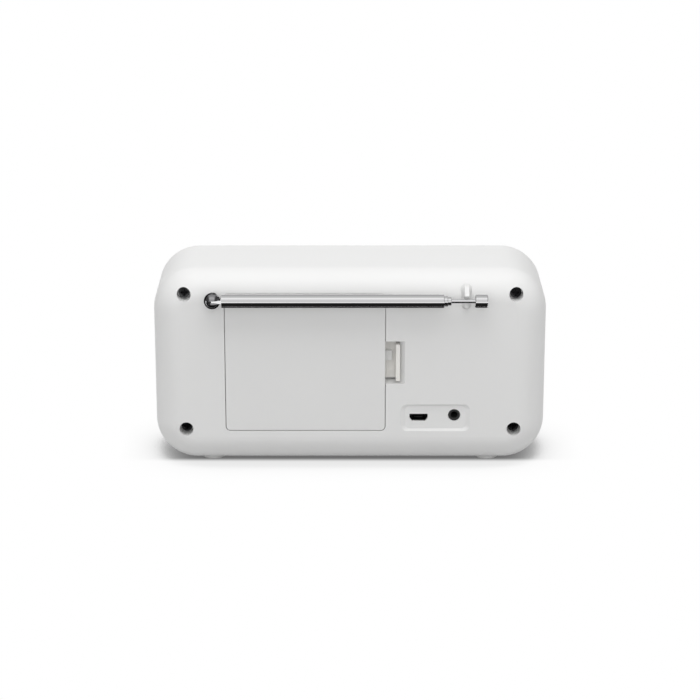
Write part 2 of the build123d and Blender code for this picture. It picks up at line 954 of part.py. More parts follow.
cell_flat_x = door_x - (cell_body + cell_nub) / 2
with BuildPart() as battery_cells:
    for row, z in enumerate(cell_rows):
        turn = 1 if row % 2 else -1
        nub_end = door_x + turn * (box_length / 2 - contact_thickness - fit_gap)
        shoulder = nub_end - turn * cell_nub
        with BuildSketch(Plane.YZ.offset(shoulder)):
            with Locations((at_depth(cell_depth), z)):
                Circle(cell_nub_diameter / 2)
        extrude(amount=turn * cell_nub)
        with BuildSketch(Plane.YZ.offset(shoulder)):
            with Locations((at_depth(cell_depth), z)):
                Circle(cell_radius)
        extrude(amount=-turn * cell_body)
    rims = battery_cells.edges().filter_by(GeomType.CIRCLE).group_by(SortBy.RADIUS)[-1]
    fillet(rims, cell_edge_radius)
save(battery_cells, "battery_cells")

with BuildPart() as battery_contacts:
    for side in (-1, 1):
        for z in cell_rows:
            end_x = door_x + side * (box_length / 2 - contact_thickness / 2)
            block(
                end_x,
                z,
                contact_thickness,
                contact_size,
                cell_depth - contact_size / 2,
                cell_depth + contact_size / 2,
            )
    for tab_z in (cell_rows[0], cell_rows[-1]):
        block(
            box_left - (box_wall + contact_tab) / 2 + contact_thickness / 2,
            tab_z,
            box_wall + contact_tab + contact_thickness,
            contact_tab_width,
            cell_depth - contact_thickness / 2,
            cell_depth + contact_thickness / 2,
        )
save(battery_contacts, "battery_contacts")

with BuildPart() as battery_springs:
    spring_height = box_spring_room - 4 * fit_gap - spring_wire
    for row, z in enumerate(cell_rows):
        side = -1 if row % 2 else 1
        plate_x = door_x + side * (box_length / 2 - contact_thickness - fit_gap - spring_wire / 2)
        with BuildLine() as coil:
            Helix(
                pitch=spring_height / spring_turns,
                height=spring_height,
                radius=spring_radius,
                center=(max(plate_x, plate_x - side * spring_height), at_depth(cell_depth), z),
                direction=(-1, 0, 0),
            )
        with BuildSketch(Plane(origin=coil.line @ 0, z_dir=coil.line % 0)):
            Circle(spring_wire / 2)
        sweep(path=coil.line)
save(battery_springs, "battery_springs")

# ---------------------------------------------------------------- main board and sockets
board_x = (board_left + board_right) / 2
board_width = board_right - board_left
with BuildPart() as main_board:
    floor_plan(
        [
            (board_left, board_rear),
            (board_right, board_rear),
            (board_right, board_front),
            (board_left, board_front),
        ],
        board_z,
        board_thickness,
    )
    with BuildSketch(Plane.XY.offset(board_z)):
        with Locations(*[(x, at_depth(d)) for x, d in board_screw_points]):
            Circle(small_screw_diameter / 2 + fit_gap)
    extrude(amount=board_thickness, mode=Mode.SUBTRACT)
save(main_board, "main_board")

with BuildPart() as board_screws:
    for x, d in board_screw_points:
        with BuildSketch(Plane.XY.offset(board_top_z)):
            with Locations((x, at_depth(d))):
                Circle(small_screw_head_diameter / 2)
        extrude(amount=small_screw_head_height)
        with BuildSketch(Plane.XY.offset(board_top_z)):
            with Locations((x, at_depth(d))):
                Circle(small_screw_diameter / 2)
        extrude(amount=-(board_thickness + small_screw_grip - fit_gap))
save(board_screws, "board_screws")

with BuildPart() as usb_socket:
    # Metal shell with the contact tongue standing in its mouth
    usb_end = jack_nose_depth + usb_length
    usb_shape(usb_gap, jack_nose_depth, usb_end)
    usb_shape(usb_gap + usb_skin, jack_nose_depth, usb_end - usb_skin, Mode.SUBTRACT)
    block(usb_x, usb_z, usb_tongue_width, usb_tongue_thickness, jack_nose_depth + usb_skin, usb_end)
save(usb_socket, "usb_socket")

with BuildPart() as headphone_jack:
    jack_body_depth = port_recess_depth + wall + 2 * fit_gap
    jack_end = jack_nose_depth + jack_bore_depth
    column([(jack_x, jack_z)], jack_nose, jack_nose_depth, jack_body_depth)
    block(
        jack_x,
        board_top_z + jack_body_height / 2,
        jack_body_width,
        jack_body_height,
        jack_body_depth,
        jack_end + 1,
    )
    column([(jack_x, jack_z)], jack_bore, jack_nose_depth, jack_end, Mode.SUBTRACT)
save(headphone_jack, "headphone_jack")

with BuildPart() as tuner_shield:
    shield_depth = (board_rear + board_front) / 2
    with BuildSketch(Plane.XY.offset(board_top_z)):
        with Locations((usb_x, at_depth(shield_depth))):
            Rectangle(shield_width, shield_length)
    extrude(amount=shield_height)
    fillet(tuner_shield.edges().filter_by(Axis.Z), shield_skin * 2)
    with BuildSketch(Plane.XY.offset(board_top_z)):
        with Locations((usb_x, at_depth(shield_depth))):
            Rectangle(shield_width - 2 * shield_skin, shield_length - 2 * shield_skin)
    extrude(amount=shield_height - shield_skin, mode=Mode.SUBTRACT)
save(tuner_shield, "tuner_shield")

with BuildPart() as capacitors:
    capacitor_x = (board_left + usb_x - shield_width / 2 - capacitor_pitch) / 2
    with BuildSketch(Plane.XY.offset(board_top_z)):
        with Locations(*[(capacitor_x + i * capacitor_pitch, at_depth(shield_depth)) for i in range(2)]):
            Circle(capacitor_diameter / 2)
    extrude(amount=capacitor_height)
    fillet(capacitors.edges().group_by(Axis.Z)[-1], cell_edge_radius)
save(capacitors, "capacitors")

# ---------------------------------------------------------------- aerial
with BuildPart() as aerial_knuckle:
    # Ball on a stem, slotted for the blade of the tube and bored for its pin
    with BuildSketch(Plane.XY.offset(aerial_z)) as half_ball:
        with Locations((aerial_x, rod_y)):
            Circle(knuckle_diameter / 2)
            with Locations((-knuckle_diameter / 2, 0)):
                Rectangle(knuckle_diameter, knuckle_diameter, mode=Mode.SUBTRACT)
    revolve(axis=Axis((aerial_x, rod_y, aerial_z), (0, 1, 0)))
    stem_end = aerial_boss_depth + contact_ring_thickness + 2 * running_gap
    column([(aerial_x, aerial_z)], knuckle_stem, -aerial_offset + knuckle_diameter / 3, stem_end)
    slot_far = blade_radius + 2 * fit_gap
    with BuildSketch(Plane.XY.offset(aerial_z - blade_thickness / 2 - running_gap)):
        with Locations((aerial_x - knuckle_diameter / 2, rod_y + knuckle_diameter / 2)):
            Rectangle(knuckle_diameter + 2 * slot_far, knuckle_diameter + 2 * slot_far)
    extrude(amount=blade_thickness + 2 * running_gap, mode=Mode.SUBTRACT)
    with BuildSketch(Plane.XY.offset(aerial_z - knuckle_diameter / 2)):
        with Locations((aerial_x, rod_y)):
            Circle(hinge_pin_diameter / 2)
    extrude(amount=knuckle_diameter, mode=Mode.SUBTRACT)
    column(
        [(aerial_x, aerial_z)],
        base_screw_diameter,
        stem_end - base_screw_length,
        stem_end,
        Mode.SUBTRACT,
    )
save(aerial_knuckle, "aerial_knuckle")

with BuildPart() as aerial_hinge_pin:
    with BuildSketch(Plane.XY.offset(aerial_z - hinge_pin_length / 2)):
        with Locations((aerial_x, rod_y)):
            Circle(hinge_pin_diameter / 2)
    extrude(amount=hinge_pin_length)
save(aerial_hinge_pin, "aerial_hinge_pin")

with BuildPart() as aerial_contact:
    # Ring round the stem, with a tag hanging down for the lead
    contact_end = aerial_boss_depth + contact_ring_thickness
    column([(aerial_x, aerial_z)], contact_ring_diameter, aerial_boss_depth, contact_end)
    block(
        aerial_x,
        aerial_z - contact_tag_length / 2,
        contact_tag_width,
        contact_tag_length,
        aerial_boss_depth,
        contact_end,
    )
    column(
        [(aerial_x, aerial_z)],
        knuckle_stem + 2 * running_gap,
        aerial_boss_depth,
        contact_end,
        Mode.SUBTRACT,
    )
save(aerial_contact, "aerial_contact")

with BuildPart() as aerial_base_screw:
    screw_seat = stem_end
    column([(aerial_x, aerial_z)], base_screw_head, screw_seat, screw_seat + base_screw_head_height)
    column([(aerial_x, aerial_z)], base_screw_diameter, stem_end - base_screw_length + fit_gap, screw_seat)
    with BuildSketch(depth(screw_seat + base_screw_head_height)):
        with Locations((aerial_x, aerial_z)):
            Rectangle(cross_slot_length, cross_slot_width)
            Rectangle(cross_slot_width, cross_slot_length)
    extrude(amount=-base_screw_head_height / 2, mode=Mode.SUBTRACT)
save(aerial_base_screw, "aerial_base_screw")

# Each section slides in the one before it: its swaged foot fits the bore, and its body
# fits the rolled mouth.
bores = [d - 2 * tube_wall for d in section_diameters]
bodies = section_diameters + [tip_rod_diameter]
section_names = ["aerial_tube", "aerial_section_2", "aerial_section_3", "aerial_section_4"]

for i, name in enumerate(section_names):
    outer_end = outer_ends[i]
    inner_end = tube_inner_x
    if i > 0:
        inner_end = outer_ends[i - 1] + section_overlap + section_travel
    with BuildPart() as section:
        sleeve(section_diameters[i], outer_end, inner_end)
        if i > 0:
            sleeve(bores[i - 1] - 2 * running_gap, inner_end - section_foot, inner_end)
        sleeve(bores[i], outer_end + section_mouth, inner_end, Mode.SUBTRACT)
        sleeve(bodies[i + 1] + 2 * running_gap, outer_end, outer_end + section_mouth, Mode.SUBTRACT)
        mouth_edges = section.edges().filter_by(GeomType.CIRCLE).group_by(Axis.X)[0]
        fillet(mouth_edges.sort_by(SortBy.RADIUS)[-1], section_mouth_radius)
    save(section, name)

with BuildPart() as aerial_blade:
    # Flat blade on the hinge pin, round plug pressed into the tube
    plug_end = tube_inner_x - plug_length
    sleeve(bores[0] - 2 * running_gap, plug_end, tube_inner_x)
    with BuildSketch(Plane.XY.offset(aerial_z - blade_thickness / 2)):
        with Locations((aerial_x, rod_y)):
            Circle(blade_radius)
        with Locations(((aerial_x + tube_inner_x) / 2, rod_y)):
            Rectangle(aerial_x - tube_inner_x, 2 * blade_radius)
    extrude(amount=blade_thickness)
    with BuildSketch(Plane.XY.offset(aerial_z - blade_thickness)):
        with Locations((aerial_x, rod_y)):
            Circle(hinge_pin_diameter / 2 + running_gap)
    extrude(amount=2 * blade_thickness, mode=Mode.SUBTRACT)
save(aerial_blade, "aerial_blade")

with BuildPart() as aerial_tip_rod:
    rod_inner = outer_ends[3] + section_overlap + section_travel
    sleeve(tip_rod_diameter, tip_rod_end - tip_knob_length / 2, rod_inner)
    sleeve(bores[3] - 2 * running_gap, rod_inner - section_foot, rod_inner)
save(aerial_tip_rod, "aerial_tip_rod")

with BuildPart() as aerial_tip_knob:
    sleeve(tip_knob_diameter, tip_rod_end - tip_knob_length, tip_rod_end)
    fillet(aerial_tip_knob.edges().filter_by(GeomType.CIRCLE), tip_knob_edge)
    sleeve(tip_rod_diameter, tip_rod_end - tip_knob_length / 2, tip_rod_end, Mode.SUBTRACT)
save(aerial_tip_knob, "aerial_tip_knob")

fin_top = aerial_z + clip_height / 2
with BuildPart() as clip_fin_solid:
    with BuildSketch(Plane.YZ.offset(clip_x - clip_fin / 2)) as fin_profile:
        with BuildLine():
            Polyline(
                (at_depth(wall), aerial_z),
                (at_depth(-clip_reach), aerial_z),
                (at_depth(-clip_reach), fin_top - clip_fin_slope),
                (at_depth(-aerial_offset / 2), fin_top),
                (at_depth(wall), fin_top),
                close=True,
            )
        make_face()
        fillet(fin_profile.vertices().group_by(Axis.Y)[-1], clip_edge)
    extrude(amount=clip_fin)
    fillet(clip_fin_solid.faces().filter_by(Axis.X).edges(), clip_edge / 2)

with BuildPart() as aerial_clip:
    # Tapering rest with a channel that the sections slide through, and a fin above them
    channel = section_diameters[1] + 2 * clip_notch_gap
    with BuildSketch(depth(wall)):
        with Locations((clip_x, aerial_z - fit_gap)):
            SlotOverall(clip_height, clip_width, rotation=90)
    extrude(amount=-(wall + clip_rest), taper=clip_taper)
    fillet(aerial_clip.faces().sort_by(Axis.Y)[-1].edges(), clip_edge)
    add(clip_fin_solid.part)
    add(casing_solid, mode=Mode.SUBTRACT)
    column([(clip_x, clip_peg_z)], clip_peg_diameter, -1, wall + 1)
    block(
        clip_x,
        aerial_z,
        2 * clip_width,
        channel,
        -aerial_offset - channel,
        -aerial_offset,
        mode=Mode.SUBTRACT,
    )
    sleeve(channel, clip_x - clip_width, clip_x + clip_width, Mode.SUBTRACT)
save(aerial_clip, "aerial_clip")

# ---------------------------------------------------------------- loudspeaker and grille
with BuildPart() as speaker_basket:
    flange_back = speaker_seat - speaker_flange
    turned(
        [
            (speaker_opening / 2, speaker_seat),
            (speaker_diameter / 2, speaker_seat),
            (speaker_diameter / 2, flange_back),
            (speaker_opening / 2 + speaker_skin, flange_back),
            (speaker_back_diameter / 2, speaker_rear),
            (magnet_bore / 2, speaker_rear),
            (magnet_bore / 2, speaker_rear + speaker_skin),
            (speaker_back_diameter / 2 - speaker_skin, speaker_rear + speaker_skin),
            (speaker_opening / 2, flange_back),
        ],
        speaker_x,
        body_mid_z,
    )
    # Ears
    with BuildSketch(depth(flange_back)):
        with Locations((speaker_x, body_mid_z)):
            with PolarLocations(speaker_ear_circle / 2, 4):
                Circle(speaker_ear_diameter / 2)
            Circle(speaker_opening / 2, mode=Mode.SUBTRACT)
            with PolarLocations(speaker_ear_circle / 2, 4):
                Circle(small_screw_diameter / 2 + fit_gap, mode=Mode.SUBTRACT)
    extrude(amount=speaker_flange)
    # Windows in the cone of the basket
    with BuildSketch(depth(speaker_rear + 2 * speaker_skin)):
        with Locations((speaker_x, body_mid_z)):
            with PolarLocations((speaker_opening + speaker_back_diameter) / 4, speaker_window_count):
                Circle(speaker_window_diameter / 2)
    extrude(amount=speaker_depth - 3 * speaker_skin, mode=Mode.SUBTRACT)
save(speaker_basket, "speaker_basket")

speaker_ears = [
    (speaker_x + speaker_ear_circle / 2, body_mid_z),
    (speaker_x - speaker_ear_circle / 2, body_mid_z),
    (speaker_x, body_mid_z + speaker_ear_circle / 2),
    (speaker_x, body_mid_z - speaker_ear_circle / 2),
]
speaker_screws = small_screws(
    speaker_ears,
    flange_back - small_screw_head_height,
    flange_back + small_screw_grip - fit_gap,
)
save(speaker_screws, "speaker_screws")

with BuildPart() as speaker_gasket:
    turned(
        [
            (speaker_opening / 2 + 2 * fit_gap, front_inside),
            (speaker_diameter / 2, front_inside),
            (speaker_diameter / 2, speaker_seat),
            (speaker_opening / 2 + 2 * fit_gap, speaker_seat),
        ],
        speaker_x,
        body_mid_z,
    )
save(speaker_gasket, "speaker_gasket")

magnet_rear = speaker_rear - magnet_height
with BuildPart() as speaker_magnet:
    turned(
        [
            (magnet_bore / 2, speaker_rear),
            (magnet_diameter / 2, speaker_rear),
            (magnet_diameter / 2, magnet_rear),
            (magnet_bore / 2, magnet_rear),
        ],
        speaker_x,
        body_mid_z,
    )
save(speaker_magnet, "speaker_magnet")

with BuildPart() as speaker_yoke:
    turned(
        [
            (0, magnet_rear - yoke_thickness),
            (magnet_diameter / 2 - 1, magnet_rear - yoke_thickness),
            (magnet_diameter / 2 - 1, magnet_rear),
            (pole_diameter / 2, magnet_rear),
            (pole_diameter / 2, speaker_rear + speaker_skin),
            (0, speaker_rear + speaker_skin),
        ],
        speaker_x,
        body_mid_z,
    )
save(speaker_yoke, "speaker_yoke")

cone_inner = coil_diameter / 2
cone_outer = speaker_opening / 2 - surround_width
cone_deep = speaker_rear + speaker_skin + 2
cone_front = speaker_seat - 2 * cone_skin
with BuildPart() as voice_coil:
    turned(
        [
            (cone_inner - coil_wall, cone_deep + cone_skin),
            (cone_inner - glue_gap, cone_deep + cone_skin),
            (cone_inner - glue_gap, speaker_rear - magnet_height / 2),
            (cone_inner - coil_wall, speaker_rear - magnet_height / 2),
        ],
        speaker_x,
        body_mid_z,
    )
save(voice_coil, "voice_coil")

with BuildPart() as speaker_cone:
    turned(
        [
            (cone_inner, cone_deep),
            (cone_outer, cone_front),
            (cone_outer, cone_front + cone_skin),
            (cone_inner, cone_deep + cone_skin),
        ],
        speaker_x,
        body_mid_z,
    )
save(speaker_cone, "speaker_cone")

with BuildPart() as speaker_surround:
    # Half roll between the cone and the flange, with a flat landing on the flange
    roll_start = cone_outer - cone_skin
    roll_end = speaker_opening / 2 - cone_skin
    roll_middle = (roll_start + roll_end) / 2
    foot = speaker_seat - cone_skin + glue_gap
    with BuildSketch(Plane(origin=(speaker_x, back_y, body_mid_z), x_dir=(1, 0, 0), z_dir=(0, 0, 1))):
        with BuildLine():
            Line((roll_start, -foot), (roll_start, -foot - cone_skin))
            ThreePointArc(
                (roll_start, -foot - cone_skin),
                (roll_middle, -foot - cone_skin - surround_rise),
                (roll_end, -foot - cone_skin),
            )
            Line((roll_end, -foot - cone_skin), (roll_end, -foot))
            ThreePointArc(
                (roll_end, -foot),
                (roll_middle, -foot - surround_rise),
                (roll_start, -foot),
            )
        make_face()
    revolve(axis=Axis((speaker_x, back_y, body_mid_z), (0, 1, 0)))
save(speaker_surround, "speaker_surround")

with BuildPart() as dust_cap:
    # Shallow dome: a slice of a ball, glued on the cone
    cap_radius = dust_cap_diameter / 2
    slope = (cone_front - cone_deep) / (cone_outer - cone_inner)
    cap_seat = cone_deep + cone_skin + (cap_radius - cone_inner) * slope + glue_gap
    ball = (cap_radius**2 + dust_cap_rise**2) / (2 * dust_cap_rise)
    shoulder_rise = sqrt(ball**2 - cap_radius**2 / 4) - ball + dust_cap_rise
    with BuildSketch(Plane(origin=(speaker_x, back_y, body_mid_z), x_dir=(1, 0, 0), z_dir=(0, 0, 1))):
        with BuildLine():
            for face in (cap_seat, cap_seat + cone_skin):
                ThreePointArc(
                    (0, -face - dust_cap_rise),
                    (cap_radius / 2, -face - shoulder_rise),
                    (cap_radius, -face),
                )
            Line((0, -cap_seat - dust_cap_rise), (0, -cap_seat - dust_cap_rise - cone_skin))
            Line((cap_radius, -cap_seat), (cap_radius, -cap_seat - cone_skin))
        make_face()
    revolve(axis=Axis((speaker_x, back_y, body_mid_z), (0, 1, 0)))
save(dust_cap, "dust_cap")

with BuildPart() as grille_cloth:
    column(speaker_axis, grille_diameter, grille_floor, grille_floor + cloth_thickness)
save(grille_cloth, "grille_cloth")

with BuildPart() as speaker_grille:
    grille_back = grille_floor + cloth_thickness
    column(speaker_axis, grille_diameter, grille_back, grille_back + grille_thickness)
    fillet(speaker_grille.faces().sort_by(Axis.Y)[0].edges(), grille_proud)
    with BuildSketch(depth(grille_back)):
        with Locations(speaker_axis[0]):
            Circle(grille_hole / 2)
            for ring in range(1, grille_rings + 1):
                with PolarLocations(ring * grille_ring_pitch, 6 * ring):
                    Circle(grille_hole / 2)
    extrude(amount=grille_thickness, mode=Mode.SUBTRACT)
save(speaker_grille, "speaker_grille")

# ---------------------------------------------------------------- display and control board
with BuildPart() as display_window:
    window_back = body_depth - window_thickness
    block(window_x, window_z, window_width, window_height, window_back, body_depth, window_radius)
    fillet(display_window.faces().sort_by(Axis.Y)[0].edges(), door_edge_radius)
save(display_window, "display_window")

with BuildPart() as display_module:
    opening_width = window_width - 2 * window_ledge
    opening_height = window_height - 2 * window_ledge
    block(
        window_x,
        window_z,
        opening_width + 2 * module_margin,
        opening_height + 2 * module_margin,
        control_face,
        front_inside - fit_gap,
    )
    block(
        window_x,
        window_z,
        opening_width - 4 * fit_gap,
        opening_height - 4 * fit_gap,
        control_face,
        front_inside + module_rise,
    )
save(display_module, "display_module")

with BuildPart() as control_board:
    control_width = control_right - control_left
    control_height = control_top - control_base
    block(
        (control_left + control_right) / 2,
        (control_base + control_top) / 2,
        control_width,
        control_height,
        control_depth,
        control_face,
        2,
    )
    column(
        control_screw_points,
        small_screw_diameter + 2 * fit_gap,
        control_depth,
        control_face,
        Mode.SUBTRACT,
    )
save(control_board, "control_board")

control_screws = small_screws(
    control_screw_points,
    control_depth - small_screw_head_height,
    control_face + small_screw_grip - fit_gap,
)
save(control_screws, "control_board_screws")

# ---------------------------------------------------------------- buttons and their switches
switch_top = control_face + switch_height + switch_plunger_height
with BuildPart() as tact_switches:
    for x in button_points:
        block(x, button_z, switch_size, switch_size, control_face, control_face + switch_height)
    column([(x, button_z) for x in button_points], switch_plunger, control_face, switch_top)
save(tact_switches, "tact_switches")

for x, name in zip(button_points, button_names):
    with BuildPart() as button:
        flange_front = front_inside - stop_gap
        with BuildSketch(depth(flange_front - button_flange)):
            with Locations((x, button_z)):
                SlotOverall(
                    button_width + 2 * button_flange_reach, button_height + 2 * button_flange_reach
                )
        extrude(amount=button_flange)
        with BuildSketch(depth(flange_front)):
            with Locations((x, button_z)):
                SlotOverall(button_width, button_height)
        extrude(amount=body_depth + button_proud - flange_front)
        fillet(button.faces().sort_by(Axis.Y)[0].edges(), button_edge)
        stem_start = switch_top + button_travel + stop_gap
        column([(x, button_z)], button_stem, stem_start, flange_front)
    save(button, f"{name}_button")

# ---------------------------------------------------------------- rotary control
knob_axis = [(knob_x, window_z)]
bushing_end = body_depth + bushing_reach
knob_back = body_depth + knob_clearance
knob_front = knob_back + knob_height
with BuildPart() as encoder_body_part:
    block(knob_x, window_z, encoder_size, encoder_size, control_face, control_face + encoder_body)
    column(knob_axis, bushing_diameter, control_face, bushing_end)
    cavity_floor = control_face + encoder_floor
    column(knob_axis, shaft_diameter + 2 * running_gap, cavity_floor, bushing_end, Mode.SUBTRACT)
    column(
        knob_axis,
        plunger_diameter + 2 * running_gap,
        control_face + knob_travel,
        cavity_floor,
        Mode.SUBTRACT,
    )
save(encoder_body_part, "encoder_body")

with BuildPart() as encoder_plunger:
    column(knob_axis, plunger_diameter, plunger_top - plunger_length, plunger_top)
save(encoder_plunger, "encoder_plunger")

with BuildPart() as encoder_shaft:
    column(knob_axis, shaft_diameter, plunger_top + running_gap, knob_back + shaft_grip)
save(encoder_shaft, "encoder_shaft")

with BuildPart() as encoder_nut:
    with BuildSketch(depth(body_depth)):
        with Locations(*knob_axis):
            RegularPolygon(nut_flats / 2, 6, major_radius=False)
            Circle(bushing_diameter / 2 + running_gap, mode=Mode.SUBTRACT)
    extrude(amount=nut_thickness)
save(encoder_nut, "encoder_nut")

with BuildPart() as volume_knob:
    column(knob_axis, knob_diameter, knob_back, knob_front)
    fillet(volume_knob.faces().sort_by(Axis.Y)[0].edges(), knob_edge_radius)
    # Grip flutes round the rim, a pointer groove, the hollow over the nut and the shaft's bore
    with BuildSketch(depth(knob_back)):
        with Locations(*knob_axis):
            with PolarLocations(knob_diameter / 2, knob_flutes):
                Circle(knob_flute_radius)
    extrude(amount=knob_height - 2 * knob_edge_radius, mode=Mode.SUBTRACT)
    block(
        knob_x,
        window_z + knob_diameter / 4 + knob_edge_radius,
        cross_slot_width,
        knob_diameter / 4,
        knob_front - knob_flute_radius,
        knob_front,
        mode=Mode.SUBTRACT,
    )
    column(knob_axis, knob_hollow, knob_back, knob_back + knob_hollow_depth, Mode.SUBTRACT)
    column(
        knob_axis,
        shaft_diameter + 2 * running_gap,
        knob_back,
        knob_back + shaft_grip + fit_gap,
        Mode.SUBTRACT,
    )
save(volume_knob, "volume_knob")

# ---------------------------------------------------------------- leads inside the casing
tag_z = aerial_z - contact_tag_length + 1.2 * lead_diameter
aerial_lead = lead(
    [
        (aerial_x, at_depth(contact_end), tag_z),
        (aerial_x, at_depth(lead_depth - 6.5), tag_z),
        (aerial_x - 4.7, at_depth(lead_depth - 0.5), tag_z - 23.5),
        (box_right - 22.6, at_depth(lead_depth + 1.5), tag_z - 37.5),
        (box_left + 2.4, at_depth(lead_depth + 0.5), board_top_z + 19.6),
        (aerial_lead_x + 0.5, at_depth(lead_depth), board_top_z + 13.6),
        (aerial_lead_x, at_depth(lead_depth), board_top_z),
    ],
    lead_diameter,
)
save(aerial_lead, "aerial_lead")

tab_x = box_left - box_wall - contact_tab + 1.2 * lead_diameter
tab_front = at_depth(cell_depth + contact_thickness / 2)
upper_lead = lead(
    [
        (tab_x, tab_front, cell_rows[-1]),
        (tab_x, at_depth(battery_lead_depth + lead_diameter), cell_rows[-1]),
        (battery_lead_x, at_depth(battery_lead_depth), board_top_z + upper_lead_rise),
        (battery_lead_x, at_depth(battery_lead_depth), board_top_z),
    ],
    lead_diameter,
)
lower_lead = lead(
    [
        (tab_x, tab_front, cell_rows[0]),
        (tab_x, at_depth(lower_lead_depth), cell_rows[0]),
        (battery_lead_x, at_depth(lower_lead_depth), cell_rows[0]),
        (battery_lead_x, at_depth(lower_lead_depth), board_top_z),
    ],
    lead_diameter,
)
with BuildPart() as battery_leads:
    add(upper_lead.part)
    add(lower_lead.part)
save(battery_leads, "battery_leads")

with BuildPart() as speaker_leads:
    terminal_radius = (speaker_diameter + speaker_opening) / 4 + speaker_skin / 2
    for angle in speaker_lead_angles:
        terminal_x = speaker_x + terminal_radius * cos(radians(angle))
        terminal_z = body_mid_z + terminal_radius * sin(radians(angle))
        strand = lead(
            [
                (terminal_x, at_depth(flange_back), terminal_z),
                (terminal_x, at_depth(board_front - 3.0), terminal_z),
                (terminal_x, at_depth(board_front - 3.0), board_top_z),
            ],
            lead_diameter,
        )
        add(strand.part)
save(speaker_leads, "speaker_leads")

with BuildPart() as ribbon_cable:
    ribbon_x = (board_right + control_left) / 2
    ribbon_depth = (board_screw_rear + board_front - board_screw_inset) / 2
    ribbon_top_z = control_base + ribbon_seat
    with BuildLine() as ribbon_path:
        FilletPolyline(
            (ribbon_x, at_depth(ribbon_depth), board_top_z),
            (ribbon_x, at_depth(ribbon_depth), ribbon_top_z),
            (ribbon_x, at_depth(control_depth), ribbon_top_z),
            radius=ribbon_bend,
        )
    with BuildSketch(Plane(origin=ribbon_path.line @ 0, x_dir=(1, 0, 0), z_dir=(0, 0, 1))):
        Rectangle(ribbon_width, ribbon_thickness)
    sweep()
save(ribbon_cable, "ribbon_cable")
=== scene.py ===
"""Looks of a tabletop radio: materials, printed detail, cell bands, floor, light and camera.

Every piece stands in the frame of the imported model, in metres: z = 0 is the surface the feet
stand on, -Y is the front and +Y the back, with the aerial, battery door and sockets.
"""

import logging
from dataclasses import dataclass, field
from enum import Enum
from math import cos, pi, radians, sin

import bmesh
import bpy
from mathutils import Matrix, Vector


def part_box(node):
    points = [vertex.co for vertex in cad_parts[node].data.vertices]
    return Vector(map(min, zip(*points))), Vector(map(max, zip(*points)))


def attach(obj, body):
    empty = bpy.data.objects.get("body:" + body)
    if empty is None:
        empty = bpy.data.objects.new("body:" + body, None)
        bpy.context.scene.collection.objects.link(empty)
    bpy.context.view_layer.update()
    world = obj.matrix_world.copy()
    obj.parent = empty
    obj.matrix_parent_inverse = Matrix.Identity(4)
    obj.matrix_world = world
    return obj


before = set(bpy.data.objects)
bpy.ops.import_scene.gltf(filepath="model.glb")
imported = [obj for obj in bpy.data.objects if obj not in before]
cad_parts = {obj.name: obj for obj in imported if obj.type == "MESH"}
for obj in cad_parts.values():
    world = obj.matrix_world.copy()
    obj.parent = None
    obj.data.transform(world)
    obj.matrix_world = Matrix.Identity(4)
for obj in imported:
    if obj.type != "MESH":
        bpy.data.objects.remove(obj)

LOG = logging.getLogger("radio")
NODES: dict[str, bpy.types.Object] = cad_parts
Color = tuple[float, float, float]
MM = 0.001
SHARP_ANGLE = radians(35)
ROUGH_LEAST = 0.94
ROUGH_SWING = 0.12
WORN_SMOOTHING = 0.3
DUST_ROUGHNESS = 0.5
THREAD_GAP_TONE = 0.45


class Surface(Enum):
    """How light leaves a surface."""

    PLASTIC = "plastic"
    METAL = "metal"
    CLEAR = "clear"
    GLOW = "glow"


class Effect(Enum):
    """Shader node groups that the finishes use."""

    TONE_DRIFT = "tone_drift"
    FINE_GRAIN = "fine_grain"
    HANDLING_WEAR = "handling_wear"
    DUST = "dust"
    LATHE_LINES = "lathe_lines"
    CLOTH_WEAVE = "cloth_weave"


